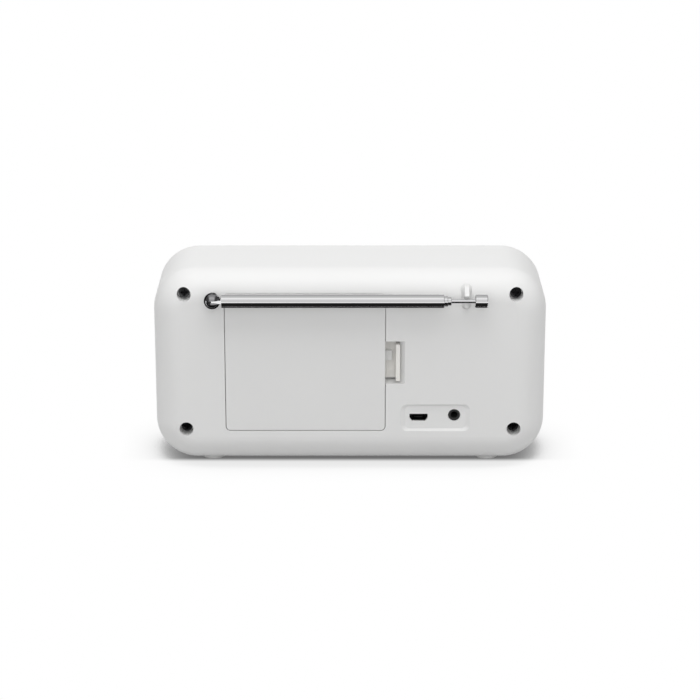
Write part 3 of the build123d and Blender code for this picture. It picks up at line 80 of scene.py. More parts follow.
# ---------------------------------------------------------------- node graph helper
class Graph:
    """A small helper for wiring shader nodes."""

    def __init__(self, tree: bpy.types.NodeTree) -> None:
        """Takes the tree to wire.

        Args:
            tree: The node tree, emptied here.
        """
        self.tree = tree
        self.tree.nodes.clear()

    def node(self, kind: str, **values: object) -> bpy.types.Node:
        """Adds a node and sets its properties and unlinked inputs.

        Args:
            kind: Blender's node type name.
            values: A property name, or an input name with spaces written as underscores.

        Returns:
            The new node.
        """
        made = self.tree.nodes.new(kind)
        for name, value in values.items():
            if hasattr(made, name):
                setattr(made, name, value)
            else:
                made.inputs[name.replace("_", " ")].default_value = value
        return made

    def link(self, source: bpy.types.NodeSocket, target: bpy.types.NodeSocket) -> None:
        """Wires one output to one input."""
        self.tree.links.new(source, target)

    def value(
        self, operation: str, first: object, second: object = 0.0, third: object = 0.0
    ) -> bpy.types.NodeSocket:
        """One arithmetic step.

        Args:
            operation: The Math node's operation.
            first: A number or an output.
            second: A number or an output.
            third: A number or an output.

        Returns:
            The result's output.
        """
        made = self.tree.nodes.new("ShaderNodeMath")
        made.operation = operation
        for slot, given in zip(made.inputs, (first, second, third)):
            if isinstance(given, bpy.types.NodeSocket):
                self.link(given, slot)
            else:
                slot.default_value = given
        return made.outputs[0]

    def mix(self, factor: object, first: object, second: object) -> bpy.types.NodeSocket:
        """Blends two colours.

        Args:
            factor: A number or an output: 0 gives the first colour, 1 the second.
            first: A colour or an output.
            second: A colour or an output.

        Returns:
            The blended colour's output.
        """
        made = self.tree.nodes.new("ShaderNodeMix")
        made.data_type = "RGBA"
        for slot, given in ((0, factor), (6, first), (7, second)):
            if isinstance(given, bpy.types.NodeSocket):
                self.link(given, made.inputs[slot])
            elif slot == 0:
                made.inputs[slot].default_value = given
            else:
                made.inputs[slot].default_value = (*given, 1.0)
        return made.outputs[2]

    def ramp(self, source: bpy.types.NodeSocket, low: float, high: float) -> bpy.types.NodeSocket:
        """A smooth step from 0 at low to 1 at high.

        Args:
            source: The value's output.
            low: Where the step starts.
            high: Where it ends.

        Returns:
            The step's output.
        """
        made = self.tree.nodes.new("ShaderNodeMapRange")
        made.interpolation_type = "SMOOTHSTEP"
        made.inputs["From Min"].default_value = low
        made.inputs["From Max"].default_value = high
        self.link(source, made.inputs["Value"])
        return made.outputs["Result"]


class EffectLibrary:
    """Builds each shared effect once and hands out its node group."""

    def __init__(self) -> None:
        """Starts with no group built."""
        self.groups: dict[Effect, bpy.types.NodeTree] = {}

    def group(self, effect: Effect) -> bpy.types.NodeTree:
        """Gives the node group of an effect.

        Args:
            effect: Which effect.

        Returns:
            Its node group, built at the first call.
        """
        if effect not in self.groups:
            makers = {
                Effect.TONE_DRIFT: self._tone_drift,
                Effect.FINE_GRAIN: self._fine_grain,
                Effect.HANDLING_WEAR: self._handling_wear,
                Effect.DUST: self._dust,
                Effect.LATHE_LINES: self._lathe_lines,
                Effect.CLOTH_WEAVE: self._cloth_weave,
            }
            self.groups[effect] = makers[effect]()
        return self.groups[effect]

    @staticmethod
    def _open(
        name: str, inputs: dict[str, object], outputs: dict[str, str]
    ) -> tuple[Graph, bpy.types.Node, bpy.types.Node]:
        """Starts a group with its sockets.

        Args:
            name: The group's name.
            inputs: Input names and defaults: a number, or a colour of three numbers.
            outputs: Output names and socket types.

        Returns:
            The graph, the node of its inputs and the node of its outputs.
        """
        tree = bpy.data.node_groups.new(name, "ShaderNodeTree")
        for label, default in inputs.items():
            colour = isinstance(default, tuple)
            kind = "NodeSocketColor" if colour else "NodeSocketFloat"
            made = tree.interface.new_socket(name=label, in_out="INPUT", socket_type=kind)
            made.default_value = (*default, 1.0) if colour else default
        for label, kind in outputs.items():
            tree.interface.new_socket(name=label, in_out="OUTPUT", socket_type=kind)
        graph = Graph(tree)
        return graph, graph.node("NodeGroupInput"), graph.node("NodeGroupOutput")

    def _tone_drift(self) -> bpy.types.NodeTree:
        """Slow change of tone over a moulded or painted surface.

        Returns:
            A group from Base, Amount and Scale to Color.
        """
        graph, given, out = self._open(
            "tone_drift",
            {"Base": (0.8, 0.8, 0.8), "Amount": 0.03, "Scale": 18.0},
            {"Color": "NodeSocketColor"},
        )
        place = graph.node("ShaderNodeTexCoord")
        noise = graph.node("ShaderNodeTexNoise", Detail=3.0, Roughness=0.55)
        graph.link(place.outputs["Object"], noise.inputs["Vector"])
        graph.link(given.outputs["Scale"], noise.inputs["Scale"])
        spread = graph.value("SUBTRACT", noise.outputs["Fac"], 0.5)
        swing = graph.value("MULTIPLY", spread, given.outputs["Amount"])
        shade = graph.node("ShaderNodeHueSaturation")
        graph.link(graph.value("MULTIPLY_ADD", swing, 2.0, 1.0), shade.inputs["Value"])
        graph.link(given.outputs["Base"], shade.inputs["Color"])
        graph.link(shade.outputs["Color"], out.inputs["Color"])
        return graph.tree

    def _fine_grain(self) -> bpy.types.NodeTree:
        """Spark-eroded texture of moulded plastic and cast metal.

        Returns:
            A group from Scale and Spread to Height and Mask.
        """
        graph, given, out = self._open(
            "fine_grain",
            {"Scale": 2500.0, "Spread": 0.5},
            {"Height": "NodeSocketFloat", "Mask": "NodeSocketFloat"},
        )
        place = graph.node("ShaderNodeTexCoord")
        noise = graph.node("ShaderNodeTexNoise", Detail=2.0, Roughness=0.6)
        pits = graph.node("ShaderNodeTexVoronoi", feature="SMOOTH_F1")
        for part in (noise, pits):
            graph.link(place.outputs["Object"], part.inputs["Vector"])
            graph.link(given.outputs["Scale"], part.inputs["Scale"])
        pit = pits.outputs["Distance"]
        height = graph.value("MULTIPLY_ADD", pit, given.outputs["Spread"], noise.outputs["Fac"])
        graph.link(height, out.inputs["Height"])
        graph.link(graph.ramp(noise.outputs["Fac"], 0.35, 0.65), out.inputs["Mask"])
        return graph.tree

    def _handling_wear(self) -> bpy.types.NodeTree:
        """Edges rubbed by hands: a little paler or darker, and shinier.

        Returns:
            A group from Base, Worn, Amount and Scale to Color and Mask.
        """
        graph, given, out = self._open(
            "handling_wear",
            {"Base": (0.8, 0.8, 0.8), "Worn": (0.9, 0.9, 0.9), "Amount": 0.3, "Scale": 140.0},
            {"Color": "NodeSocketColor", "Mask": "NodeSocketFloat"},
        )
        place = graph.node("ShaderNodeTexCoord")
        edges = graph.node("ShaderNodeNewGeometry")
        noise = graph.node("ShaderNodeTexNoise", Detail=4.0)
        graph.link(place.outputs["Object"], noise.inputs["Vector"])
        graph.link(given.outputs["Scale"], noise.inputs["Scale"])
        convex = graph.ramp(edges.outputs["Pointiness"], 0.52, 0.62)
        broken = graph.value("MULTIPLY", convex, graph.ramp(noise.outputs["Fac"], 0.35, 0.7))
        mask = graph.value("MULTIPLY", broken, given.outputs["Amount"])
        color = graph.mix(mask, given.outputs["Base"], given.outputs["Worn"])
        graph.link(color, out.inputs["Color"])
        graph.link(mask, out.inputs["Mask"])
        return graph.tree

    def _dust(self) -> bpy.types.NodeTree:
        """Thin dust that settles on what faces up.

        Returns:
            A group from Base, Dust and Amount to Color and Mask.
        """
        graph, given, out = self._open(
            "dust",
            {"Base": (0.8, 0.8, 0.8), "Dust": (0.72, 0.71, 0.69), "Amount": 0.1},
            {"Color": "NodeSocketColor", "Mask": "NodeSocketFloat"},
        )
        place = graph.node("ShaderNodeTexCoord")
        facing = graph.node("ShaderNodeNewGeometry")
        split = graph.node("ShaderNodeSeparateXYZ")
        graph.link(facing.outputs["Normal"], split.inputs["Vector"])
        specks = graph.node("ShaderNodeTexNoise", Scale=900.0, Detail=5.0, Roughness=0.7)
        graph.link(place.outputs["Object"], specks.inputs["Vector"])
        level = graph.ramp(split.outputs["Z"], 0.3, 1.0)
        lying = graph.value("MULTIPLY", level, graph.ramp(specks.outputs["Fac"], 0.45, 0.75))
        mask = graph.value("MULTIPLY", lying, given.outputs["Amount"])
        color = graph.mix(mask, given.outputs["Base"], given.outputs["Dust"])
        graph.link(color, out.inputs["Color"])
        graph.link(mask, out.inputs["Mask"])
        return graph.tree

    def _lathe_lines(self) -> bpy.types.NodeTree:
        """Fine parallel tool or polishing lines.

        Returns:
            A group from Scale X, Scale Y and Scale Z to Height.
        """
        graph, given, out = self._open(
            "lathe_lines",
            {"Scale X": 100.0, "Scale Y": 3000.0, "Scale Z": 3000.0},
            {"Height": "NodeSocketFloat"},
        )
        place = graph.node("ShaderNodeTexCoord")
        stretch = graph.node("ShaderNodeVectorMath", operation="MULTIPLY")
        scale = graph.node("ShaderNodeCombineXYZ")
        for axis in "XYZ":
            graph.link(given.outputs[f"Scale {axis}"], scale.inputs[axis])
        graph.link(place.outputs["Object"], stretch.inputs[0])
        graph.link(scale.outputs["Vector"], stretch.inputs[1])
        noise = graph.node("ShaderNodeTexNoise", Scale=1.0, Detail=3.0)
        graph.link(stretch.outputs["Vector"], noise.inputs["Vector"])
        graph.link(noise.outputs["Fac"], out.inputs["Height"])
        return graph.tree

    def _cloth_weave(self) -> bpy.types.NodeTree:
        """Plain weave seen from the front.

        Returns:
            A group from Scale to Height and Mask.
        """
        graph, given, out = self._open(
            "cloth_weave",
            {"Scale": 5200.0},
            {"Height": "NodeSocketFloat", "Mask": "NodeSocketFloat"},
        )
        place = graph.node("ShaderNodeTexCoord")
        split = graph.node("ShaderNodeSeparateXYZ")
        graph.link(place.outputs["Object"], split.inputs["Vector"])
        x, z, scale = split.outputs["X"], split.outputs["Z"], given.outputs["Scale"]
        warp = graph.value("SINE", graph.value("MULTIPLY", x, scale))
        weft = graph.value("SINE", graph.value("MULTIPLY", z, scale))
        height = graph.value("MULTIPLY", warp, weft)
        graph.link(height, out.inputs["Height"])
        graph.link(graph.ramp(height, -0.6, 0.8), out.inputs["Mask"])
        return graph.tree


EFFECTS = EffectLibrary()


# ---------------------------------------------------------------- finishes
def blank_material(name: str) -> tuple[bpy.types.Material, Graph]:
    """Starts a material with an empty graph.

    Args:
        name: The material's name.

    Returns:
        The material and its graph.
    """
    material = bpy.data.materials.new(name)
    material.use_nodes = True
    return material, Graph(material.node_tree)


@dataclass(frozen=True)
class Finish:
    """One finish of the radio: its colour, its gloss, and how much each shared effect shows."""

    name: str
    color: Color
    surface: Surface = Surface.PLASTIC
    roughness: float = 0.4
    drift: float = 0.03
    drift_scale: float = 18.0
    grain: float = 0.02
    grain_scale: float = 2500.0
    worn: Color = (0.9, 0.9, 0.9)
    wear: float = 0.0
    dust: float = 0.0
    lines: tuple[float, float, float] | None = None
    line_depth: float = 0.0
    weave: float = 0.0
    coat: float = 0.0
    specular: float = 0.5
    alpha: float = 1.0
    glow: float = 0.0
    coat_roughness: float = 0.08
    clear_ior: float = 1.49

    def build(self) -> bpy.types.Material:
        """Makes the material, or finds it if it is already made.

        Returns:
            The material.
        """
        known = bpy.data.materials.get(self.name)
        if known is not None:
            return known
        material, graph = blank_material(self.name)
        shader = graph.node("ShaderNodeBsdfPrincipled")
        end = graph.node("ShaderNodeOutputMaterial")
        graph.link(shader.outputs["BSDF"], end.inputs["Surface"])
        self._color(graph, shader)
        self._relief(graph, shader)
        self._gloss(shader)
        material.diffuse_color = (*self.color, 1.0)
        return material

    def _color(self, graph: Graph, shader: bpy.types.Node) -> None:
        """Colour and roughness: tone drift, then wear, dust and weave.

        Args:
            graph: The material's graph.
            shader: Its shader.
        """
        drift = graph.node("ShaderNodeGroup", node_tree=EFFECTS.group(Effect.TONE_DRIFT))
        drift.inputs["Base"].default_value = (*self.color, 1.0)
        drift.inputs["Amount"].default_value = self.drift
        drift.inputs["Scale"].default_value = self.drift_scale
        color = drift.outputs["Color"]
        grain = graph.node("ShaderNodeGroup", node_tree=EFFECTS.group(Effect.FINE_GRAIN))
        grain.inputs["Scale"].default_value = self.grain_scale
        swing, least = ROUGH_SWING * self.roughness, ROUGH_LEAST * self.roughness
        rough = graph.value("MULTIPLY_ADD", grain.outputs["Mask"], swing, least)
        if self.wear > 0:
            wear = graph.node("ShaderNodeGroup", node_tree=EFFECTS.group(Effect.HANDLING_WEAR))
            wear.inputs["Worn"].default_value = (*self.worn, 1.0)
            wear.inputs["Amount"].default_value = self.wear
            graph.link(color, wear.inputs["Base"])
            color = wear.outputs["Color"]
            smoother = -WORN_SMOOTHING * self.roughness
            rough = graph.value("MULTIPLY_ADD", wear.outputs["Mask"], smoother, rough)
        if self.dust > 0:
            dust = graph.node("ShaderNodeGroup", node_tree=EFFECTS.group(Effect.DUST))
            dust.inputs["Amount"].default_value = self.dust
            graph.link(color, dust.inputs["Base"])
            color = dust.outputs["Color"]
            rough = graph.value("MULTIPLY_ADD", dust.outputs["Mask"], DUST_ROUGHNESS, rough)
        if self.weave > 0:
            weave = graph.node("ShaderNodeGroup", node_tree=EFFECTS.group(Effect.CLOTH_WEAVE))
            dark = tuple(THREAD_GAP_TONE * part for part in self.color)
            color = graph.mix(weave.outputs["Mask"], dark, color)
        graph.link(color, shader.inputs["Base Color"])
        graph.link(rough, shader.inputs["Roughness"])
        if self.surface is Surface.GLOW:
            graph.link(color, shader.inputs["Emission Color"])

    def _relief(self, graph: Graph, shader: bpy.types.Node) -> None:
        """Bump: grain, tool lines or weave.

        Args:
            graph: The material's graph.
            shader: Its shader.
        """
        bump = graph.node("ShaderNodeBump", Strength=1.0, Distance=self.grain * MM)
        if self.weave > 0:
            part = graph.node("ShaderNodeGroup", node_tree=EFFECTS.group(Effect.CLOTH_WEAVE))
            bump.inputs["Distance"].default_value = self.weave * MM
        elif self.lines is not None:
            part = graph.node("ShaderNodeGroup", node_tree=EFFECTS.group(Effect.LATHE_LINES))
            for axis, scale in zip("XYZ", self.lines):
                part.inputs[f"Scale {axis}"].default_value = scale
            bump.inputs["Distance"].default_value = self.line_depth * MM
        else:
            part = graph.node("ShaderNodeGroup", node_tree=EFFECTS.group(Effect.FINE_GRAIN))
            part.inputs["Scale"].default_value = self.grain_scale
        graph.link(part.outputs["Height"], bump.inputs["Height"])
        graph.link(bump.outputs["Normal"], shader.inputs["Normal"])

    def _gloss(self, shader: bpy.types.Node) -> None:
        """Plain values on the shader's own sockets.

        Args:
            shader: The material's shader.
        """
        shader.inputs["Metallic"].default_value = 1.0 if self.surface is Surface.METAL else 0.0
        shader.inputs["Specular IOR Level"].default_value = self.specular
        shader.inputs["Coat Weight"].default_value = self.coat
        shader.inputs["Coat Roughness"].default_value = self.coat_roughness
        shader.inputs["Alpha"].default_value = self.alpha
        if self.surface is Surface.CLEAR:
            shader.inputs["Transmission Weight"].default_value = 1.0
            shader.inputs["IOR"].default_value = self.clear_ior
        if self.surface is Surface.GLOW:
            shader.inputs["Emission Strength"].default_value = self.glow


SHELL = Finish(
    "shell_white", (0.80, 0.80, 0.795), roughness=0.42, drift=0.012, grain=0.0025,
    grain_scale=3200.0, dust=0.04, specular=0.42,
)
DOOR = Finish(
    "door_white", (0.785, 0.785, 0.78), roughness=0.42, drift=0.014, grain=0.0025,
    grain_scale=3200.0, specular=0.42,
)
LATCH = Finish(
    "latch_white", (0.87, 0.855, 0.82), roughness=0.38, drift=0.02, grain=0.002, wear=0.2,
    specular=0.45,
)
CLIP = Finish(
    "clip_white", (0.78, 0.78, 0.775), roughness=0.4, drift=0.01, grain=0.002, specular=0.3,
)
FOOT = Finish(
    "foot_white", (0.80, 0.80, 0.79), roughness=0.6, drift=0.03, grain=0.006, grain_scale=1800.0,
)
BLACK_SCREW = Finish(
    "black_screw", (0.016, 0.016, 0.017), Surface.METAL, roughness=0.3, drift=0.2,
    worn=(0.5, 0.5, 0.51), wear=0.15, grain=0.003,
)
ZINC_SCREW = Finish(
    "zinc_screw", (0.62, 0.61, 0.58), Surface.METAL, roughness=0.28, drift=0.08, grain=0.002,
    worn=(0.8, 0.8, 0.78), wear=0.5,
)
CHROME = Finish(
    "polished_chrome", (0.86, 0.86, 0.865), Surface.METAL, roughness=0.055, drift=0.01,
    lines=(90.0, 2600.0, 2600.0), line_depth=0.00035,
)
# The knuckle's chrome is made far darker than the aerial's so that it reads dark: painted shade
# standing in for its dark reflections.
KNUCKLE_PAINTED_DARK = Finish(
    "knuckle_chrome_painted_dark", (0.40, 0.40, 0.41), Surface.METAL, roughness=0.11, drift=0.03,
    lines=(90.0, 90.0, 2600.0), line_depth=0.0004,
)
KNOB_CHROME = Finish(
    "turned_chrome", (0.85, 0.85, 0.855), Surface.METAL, roughness=0.09, drift=0.01,
    lines=(5200.0, 60.0, 60.0), line_depth=0.0005,
)
NICKEL = Finish(
    "nickel_sheet", (0.66, 0.64, 0.60), Surface.METAL, roughness=0.26, drift=0.08, grain=0.002,
    grain_scale=1500.0,
)
SPRING = Finish(
    "nickel_wire", (0.68, 0.66, 0.62), Surface.METAL, roughness=0.22, drift=0.05,
    lines=(400.0, 2600.0, 2600.0), line_depth=0.001,
)
STEEL = Finish(
    "zinc_steel", (0.52, 0.52, 0.50), Surface.METAL, roughness=0.34, drift=0.12, drift_scale=60.0,
    grain=0.003,
)
TURNED = Finish(
    "turned_aluminium", (0.64, 0.64, 0.65), Surface.METAL, roughness=0.3,
    lines=(60.0, 5200.0, 60.0), line_depth=0.0012,
)
BOX = Finish(
    "box_white", (0.72, 0.72, 0.71), roughness=0.5, drift=0.03, grain=0.006, grain_scale=1800.0,
)
JACK = Finish(
    "jack_black", (0.004, 0.004, 0.0045), roughness=0.6, drift=0.2, grain=0.003, specular=0.04,
)
# The socket's steel is made near black so that its opening reads dark: painted shade of the
# cavity.
SOCKET_PAINTED_DARK = Finish(
    "socket_steel_painted_dark", (0.06, 0.06, 0.062), Surface.METAL, roughness=0.34, drift=0.1, grain=0.002,
    worn=(0.5, 0.5, 0.5), wear=0.5,
)
FERRITE = Finish(
    "ferrite", (0.05, 0.05, 0.054), roughness=0.62, drift=0.2, drift_scale=120.0, grain=0.012,
    grain_scale=1400.0,
)
CONE = Finish(
    "pressed_paper", (0.035, 0.034, 0.032), roughness=0.8, drift=0.25, drift_scale=220.0,
    grain=0.02, grain_scale=1200.0,
)
RUBBER = Finish("soft_rubber", (0.02, 0.02, 0.021), roughness=0.55, drift=0.1, grain=0.005)
FOAM = Finish(
    "grey_foam", (0.09, 0.09, 0.092), roughness=0.95, drift=0.15, drift_scale=300.0, grain=0.06,
    grain_scale=1700.0, specular=0.2,
)
COPPER = Finish(
    "enamelled_copper", (0.60, 0.27, 0.12), Surface.METAL, roughness=0.24,
    lines=(60.0, 9000.0, 60.0), line_depth=0.02,
)
GRILLE = Finish(
    "painted_grille", (0.80, 0.80, 0.79), roughness=0.4, drift=0.02, grain=0.003,
    worn=(0.86, 0.86, 0.85), wear=0.25,
)
CLOTH = Finish("acoustic_cloth", (0.028, 0.028, 0.03), roughness=0.9, weave=0.05, specular=0.2)
WINDOW = Finish(
    "smoked_window", (0.30, 0.31, 0.33), Surface.CLEAR, roughness=0.03, drift=0.02, grain=0.0,
)
DISPLAY = Finish(
    "display_glass", (0.012, 0.016, 0.017), roughness=0.2, drift=0.1, grain=0.001, coat=0.4,
)
SEGMENT = Finish(
    "display_segment", (0.62, 0.86, 0.92), Surface.GLOW, roughness=0.4, drift=0.02, grain=0.0,
    glow=0.9,
)
SLEEVE = Finish(
    "cell_sleeve", (0.035, 0.05, 0.085), roughness=0.24, drift=0.06, grain=0.002, coat=0.6,
)
CELL_BAND = Finish(
    "cell_band", (0.60, 0.46, 0.20), Surface.METAL, roughness=0.28, drift=0.05, grain=0.001,
)
BUTTON = Finish(
    "button_white", (0.76, 0.76, 0.75), roughness=0.45, drift=0.015, grain=0.003,
    worn=(0.82, 0.82, 0.81), wear=0.4,
)
KNOB = Finish(
    "knob_white", (0.78, 0.78, 0.77), roughness=0.4, drift=0.015, grain=0.003,
    worn=(0.84, 0.84, 0.83), wear=0.4,
)
PRINT = Finish(
    "grey_print", (0.22, 0.22, 0.225), roughness=0.55, drift=0.1, drift_scale=400.0, grain=0.001,
)
LEAD_BLACK = Finish("lead_black", (0.02, 0.02, 0.021), roughness=0.42, drift=0.1, grain=0.002)
LEAD_RED = Finish("lead_red", (0.42, 0.02, 0.02), roughness=0.42, drift=0.1, grain=0.002)
RIBBON = Finish(
    "ribbon_grey", (0.42, 0.43, 0.45), roughness=0.5, lines=(7900.0, 20.0, 20.0), line_depth=0.06,
)
CAN = Finish(
    "capacitor_can", (0.60, 0.60, 0.62), Surface.METAL, roughness=0.3, drift=0.05,
    lines=(60.0, 60.0, 5200.0), line_depth=0.0008,
)


@dataclass(frozen=True)
class BoardFinish:
    """Solder mask with copper tracks under it and bare pads on it."""

    name: str = "board_green"
    mask: Color = (0.012, 0.11, 0.045)
    track: Color = (0.03, 0.21, 0.08)
    pad: Color = (0.62, 0.60, 0.55)
    pad_edge: tuple[float, float] = (0.16, 0.2)
    relief: float = 0.03 * MM

    def build(self) -> bpy.types.Material:
        """Makes the material, or finds it if it is already made.

        Returns:
            The material.
        """
        known = bpy.data.materials.get(self.name)
        if known is not None:
            return known
        material, graph = blank_material(self.name)
        shader = graph.node("ShaderNodeBsdfPrincipled", Roughness=0.32, Coat_Weight=0.3)
        end = graph.node("ShaderNodeOutputMaterial")
        place = graph.node("ShaderNodeTexCoord")
        tracks = graph.node(
            "ShaderNodeTexBrick", Scale=160.0, Mortar_Size=0.06, Brick_Width=0.9, Row_Height=0.22
        )
        pads = graph.node("ShaderNodeTexVoronoi", Scale=230.0, Randomness=0.25)
        for part in (tracks, pads):
            graph.link(place.outputs["Object"], part.inputs["Vector"])
        drift = graph.node("ShaderNodeGroup", node_tree=EFFECTS.group(Effect.TONE_DRIFT))
        drift.inputs["Base"].default_value = (*self.mask, 1.0)
        drift.inputs["Amount"].default_value = 0.1
        tracked = graph.mix(tracks.outputs["Fac"], drift.outputs["Color"], self.track)
        off_pad = graph.ramp(pads.outputs["Distance"], *self.pad_edge)
        on_pad = graph.value("SUBTRACT", 1.0, off_pad)
        graph.link(graph.mix(on_pad, tracked, self.pad), shader.inputs["Base Color"])
        graph.link(on_pad, shader.inputs["Metallic"])
        bump = graph.node("ShaderNodeBump", Distance=self.relief)
        graph.link(tracks.outputs["Fac"], bump.inputs["Height"])
        graph.link(bump.outputs["Normal"], shader.inputs["Normal"])
        graph.link(shader.outputs["BSDF"], end.inputs["Surface"])
        return material


BOARD = BoardFinish()
AnyFinish = Finish | BoardFinish


# ---------------------------------------------------------------- mesh helpers
def dress(node: str, finish: AnyFinish) -> None:
    """Gives a node of the frame its finish.

    Args:
        node: The node's name.
        finish: Its finish.
    """
    piece = NODES[node]
    piece.data.materials.clear()
    piece.data.materials.append(finish.build())
    LOG.info("dressed %s in %s", node, finish.name)


def stand(name: str, mesh: bmesh.types.BMesh) -> bpy.types.Object:
    """Turns a finished mesh into an object of the scene.

    Args:
        name: The object's name.
        mesh: Its mesh, freed here.

    Returns:
        The object.
    """
    data = bpy.data.meshes.new(name)
    mesh.to_mesh(data)
    mesh.free()
    made = bpy.data.objects.new(name, data)
    bpy.context.scene.collection.objects.link(made)
    return made


def add_piece(
    name: str, mesh: bmesh.types.BMesh, body: str, finish: Finish
) -> bpy.types.Object:
    """Turns a finished mesh into a piece that rides on a body.

    Args:
        name: The piece's name.
        mesh: Its mesh, freed here.
        body: The body it rides on.
        finish: Its finish.

    Returns:
        The piece.
    """
    bmesh.ops.recalc_face_normals(mesh, faces=mesh.faces)
    piece = stand(name, mesh)
    piece.data.materials.append(finish.build())
    for face in piece.data.polygons:
        face.use_smooth = True
    piece.data.set_sharp_from_angle(angle=SHARP_ANGLE)
    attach(piece, body)
    LOG.info("made %s on %s: %d faces", name, body, len(piece.data.polygons))
    return piece


def slab(mesh: bmesh.types.BMesh, outline: list[Vector], lift: Vector) -> None:
    """Adds a closed plate: an outline and its copy moved by lift.

    Args:
        mesh: The mesh that takes it.
        outline: Corners in order.
        lift: From the outline to its copy.
    """
    low = [mesh.verts.new(point) for point in outline]
    high = [mesh.verts.new(point + lift) for point in outline]
    mesh.faces.new(low)
    mesh.faces.new(list(reversed(high)))
    for i in range(len(outline)):
        j = (i + 1) % len(outline)
        mesh.faces.new((low[i], low[j], high[j], high[i]))


def tube(
    mesh: bmesh.types.BMesh,
    center: Vector,
    axis: Vector,
    rings: list[tuple[float, float]],
    sides: int = 64,
) -> None:
    """Adds a closed ring of revolution.

    Args:
        mesh: The mesh that takes it.
        center: A point on the axis.
        axis: The axis, of length 1.
        rings: (radius, distance along the axis) corners of the closed section, in order.
        sides: How many sides the circle has.
    """
    across = axis.orthogonal().normalized()
    other = axis.cross(across)
    loops = []
    for radius, along in rings:
        loops.append(
            [
                mesh.verts.new(
                    center
                    + axis * along
                    + (across * cos(2 * pi * i / sides) + other * sin(2 * pi * i / sides)) * radius
                )
                for i in range(sides)
            ]
        )
    for i in range(len(loops)):
        near, far = loops[i], loops[(i + 1) % len(loops)]
        for j in range(sides):
            k = (j + 1) % sides
            mesh.faces.new((near[j], near[k], far[k], far[j]))


# ---------------------------------------------------------------- sub-assemblies
@dataclass
class SubAssembly:
    """Nodes that belong together, with their finishes."""

    nodes: dict[str, AnyFinish] = field(default_factory=dict)

    def dress(self) -> None:
        """Gives each node its finish."""
        for node, finish in self.nodes.items():
            dress(node, finish)

    def build(self) -> None:
        """Makes the pieces that the frame has no node for, if any."""


@dataclass
class Casing(SubAssembly):
    """Both shells and their screws, the feet and the aerial's rest."""

    nodes: dict[str, AnyFinish] = field(
        default_factory=lambda: {
            "front_shell": SHELL,
            "rear_shell": SHELL,
            "feet": FOOT,
            "case_screws": BLACK_SCREW,
            "aerial_clip": CLIP,
        }
    )


@dataclass
class BatteryCompartment(SubAssembly):
    """Door, latch and cushion, and the box with its screws, cells, contacts and springs."""

    cells: int = 4
    band_start: float = 2.4 * MM
    band_length: float = 9.0 * MM
    band_gap: float = 0.005 * MM
    band_lift: float = 0.06 * MM
    nodes: dict[str, AnyFinish] = field(
        default_factory=lambda: {
            "battery_door": DOOR,
            "battery_latch": LATCH,
            "door_cushion": FOAM,
            "battery_box": BOX,
            "battery_box_screws": ZINC_SCREW,
            "battery_cells": SLEEVE,
            "battery_contacts": NICKEL,
            "battery_springs": SPRING,
        }
    )

    def build(self) -> None:
        """Makes the plain coloured band round the positive end of each cell."""
        low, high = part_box("battery_cells")
        radius = (high.y - low.y) / 2
        pitch = (high.z - low.z - 2 * radius) / (self.cells - 1)
        middle_y = (low.y + high.y) / 2
        mesh = bmesh.new()
        for row in range(self.cells):
            z = low.z + radius + row * pitch
            toward = 1 if row % 2 else -1
            end = high.x if toward > 0 else low.x
            start = end - toward * self.band_start
            rings = [
                (radius + self.band_gap, 0.0),
                (radius + self.band_lift, 0.0),
                (radius + self.band_lift, self.band_length),
                (radius + self.band_gap, self.band_length),
            ]
            tube(mesh, Vector((start, middle_y, z)), Vector((-toward, 0, 0)), rings)
        add_piece("cell_bands", mesh, "casing", CELL_BAND)


@dataclass
class Aerial(SubAssembly):
    """Knuckle, telescopic sections and tip."""

    nodes: dict[str, AnyFinish] = field(
        default_factory=lambda: {
            "aerial_knuckle": KNUCKLE_PAINTED_DARK,
            "aerial_hinge_pin": CHROME,
            "aerial_base_screw": ZINC_SCREW,
            "aerial_contact": NICKEL,
            "aerial_blade": CHROME,
            "aerial_tube": CHROME,
            "aerial_section_2": CHROME,
            "aerial_section_3": CHROME,
            "aerial_section_4": CHROME,
            "aerial_tip_rod": CHROME,
            "aerial_tip_knob": KNOB_CHROME,
        }
    )


@dataclass
class Electronics(SubAssembly):
    """Boards, sockets, parts on the boards and the leads."""

    nodes: dict[str, AnyFinish] = field(
        default_factory=lambda: {
            "main_board": BOARD,
            "board_screws": ZINC_SCREW,
            "usb_socket": SOCKET_PAINTED_DARK,
            "headphone_jack": JACK,
            "tuner_shield": NICKEL,
            "capacitors": CAN,
            "control_board": BOARD,
            "control_board_screws": ZINC_SCREW,
            "tact_switches": JACK,
            "aerial_lead": LEAD_BLACK,
            "battery_leads": LEAD_RED,
            "speaker_leads": LEAD_BLACK,
            "ribbon_cable": RIBBON,
        }
    )


@dataclass
class Loudspeaker(SubAssembly):
    """The driver, its grille and the cloth behind the grille."""

    nodes: dict[str, AnyFinish] = field(
        default_factory=lambda: {
            "speaker_basket": STEEL,
            "speaker_gasket": FOAM,
            "speaker_magnet": FERRITE,
            "speaker_yoke": STEEL,
            "voice_coil": COPPER,
            "speaker_cone": CONE,
            "speaker_surround": RUBBER,
            "dust_cap": CONE,
            "speaker_screws": ZINC_SCREW,
            "speaker_grille": GRILLE,
            "grille_cloth": CLOTH,
        }
    )


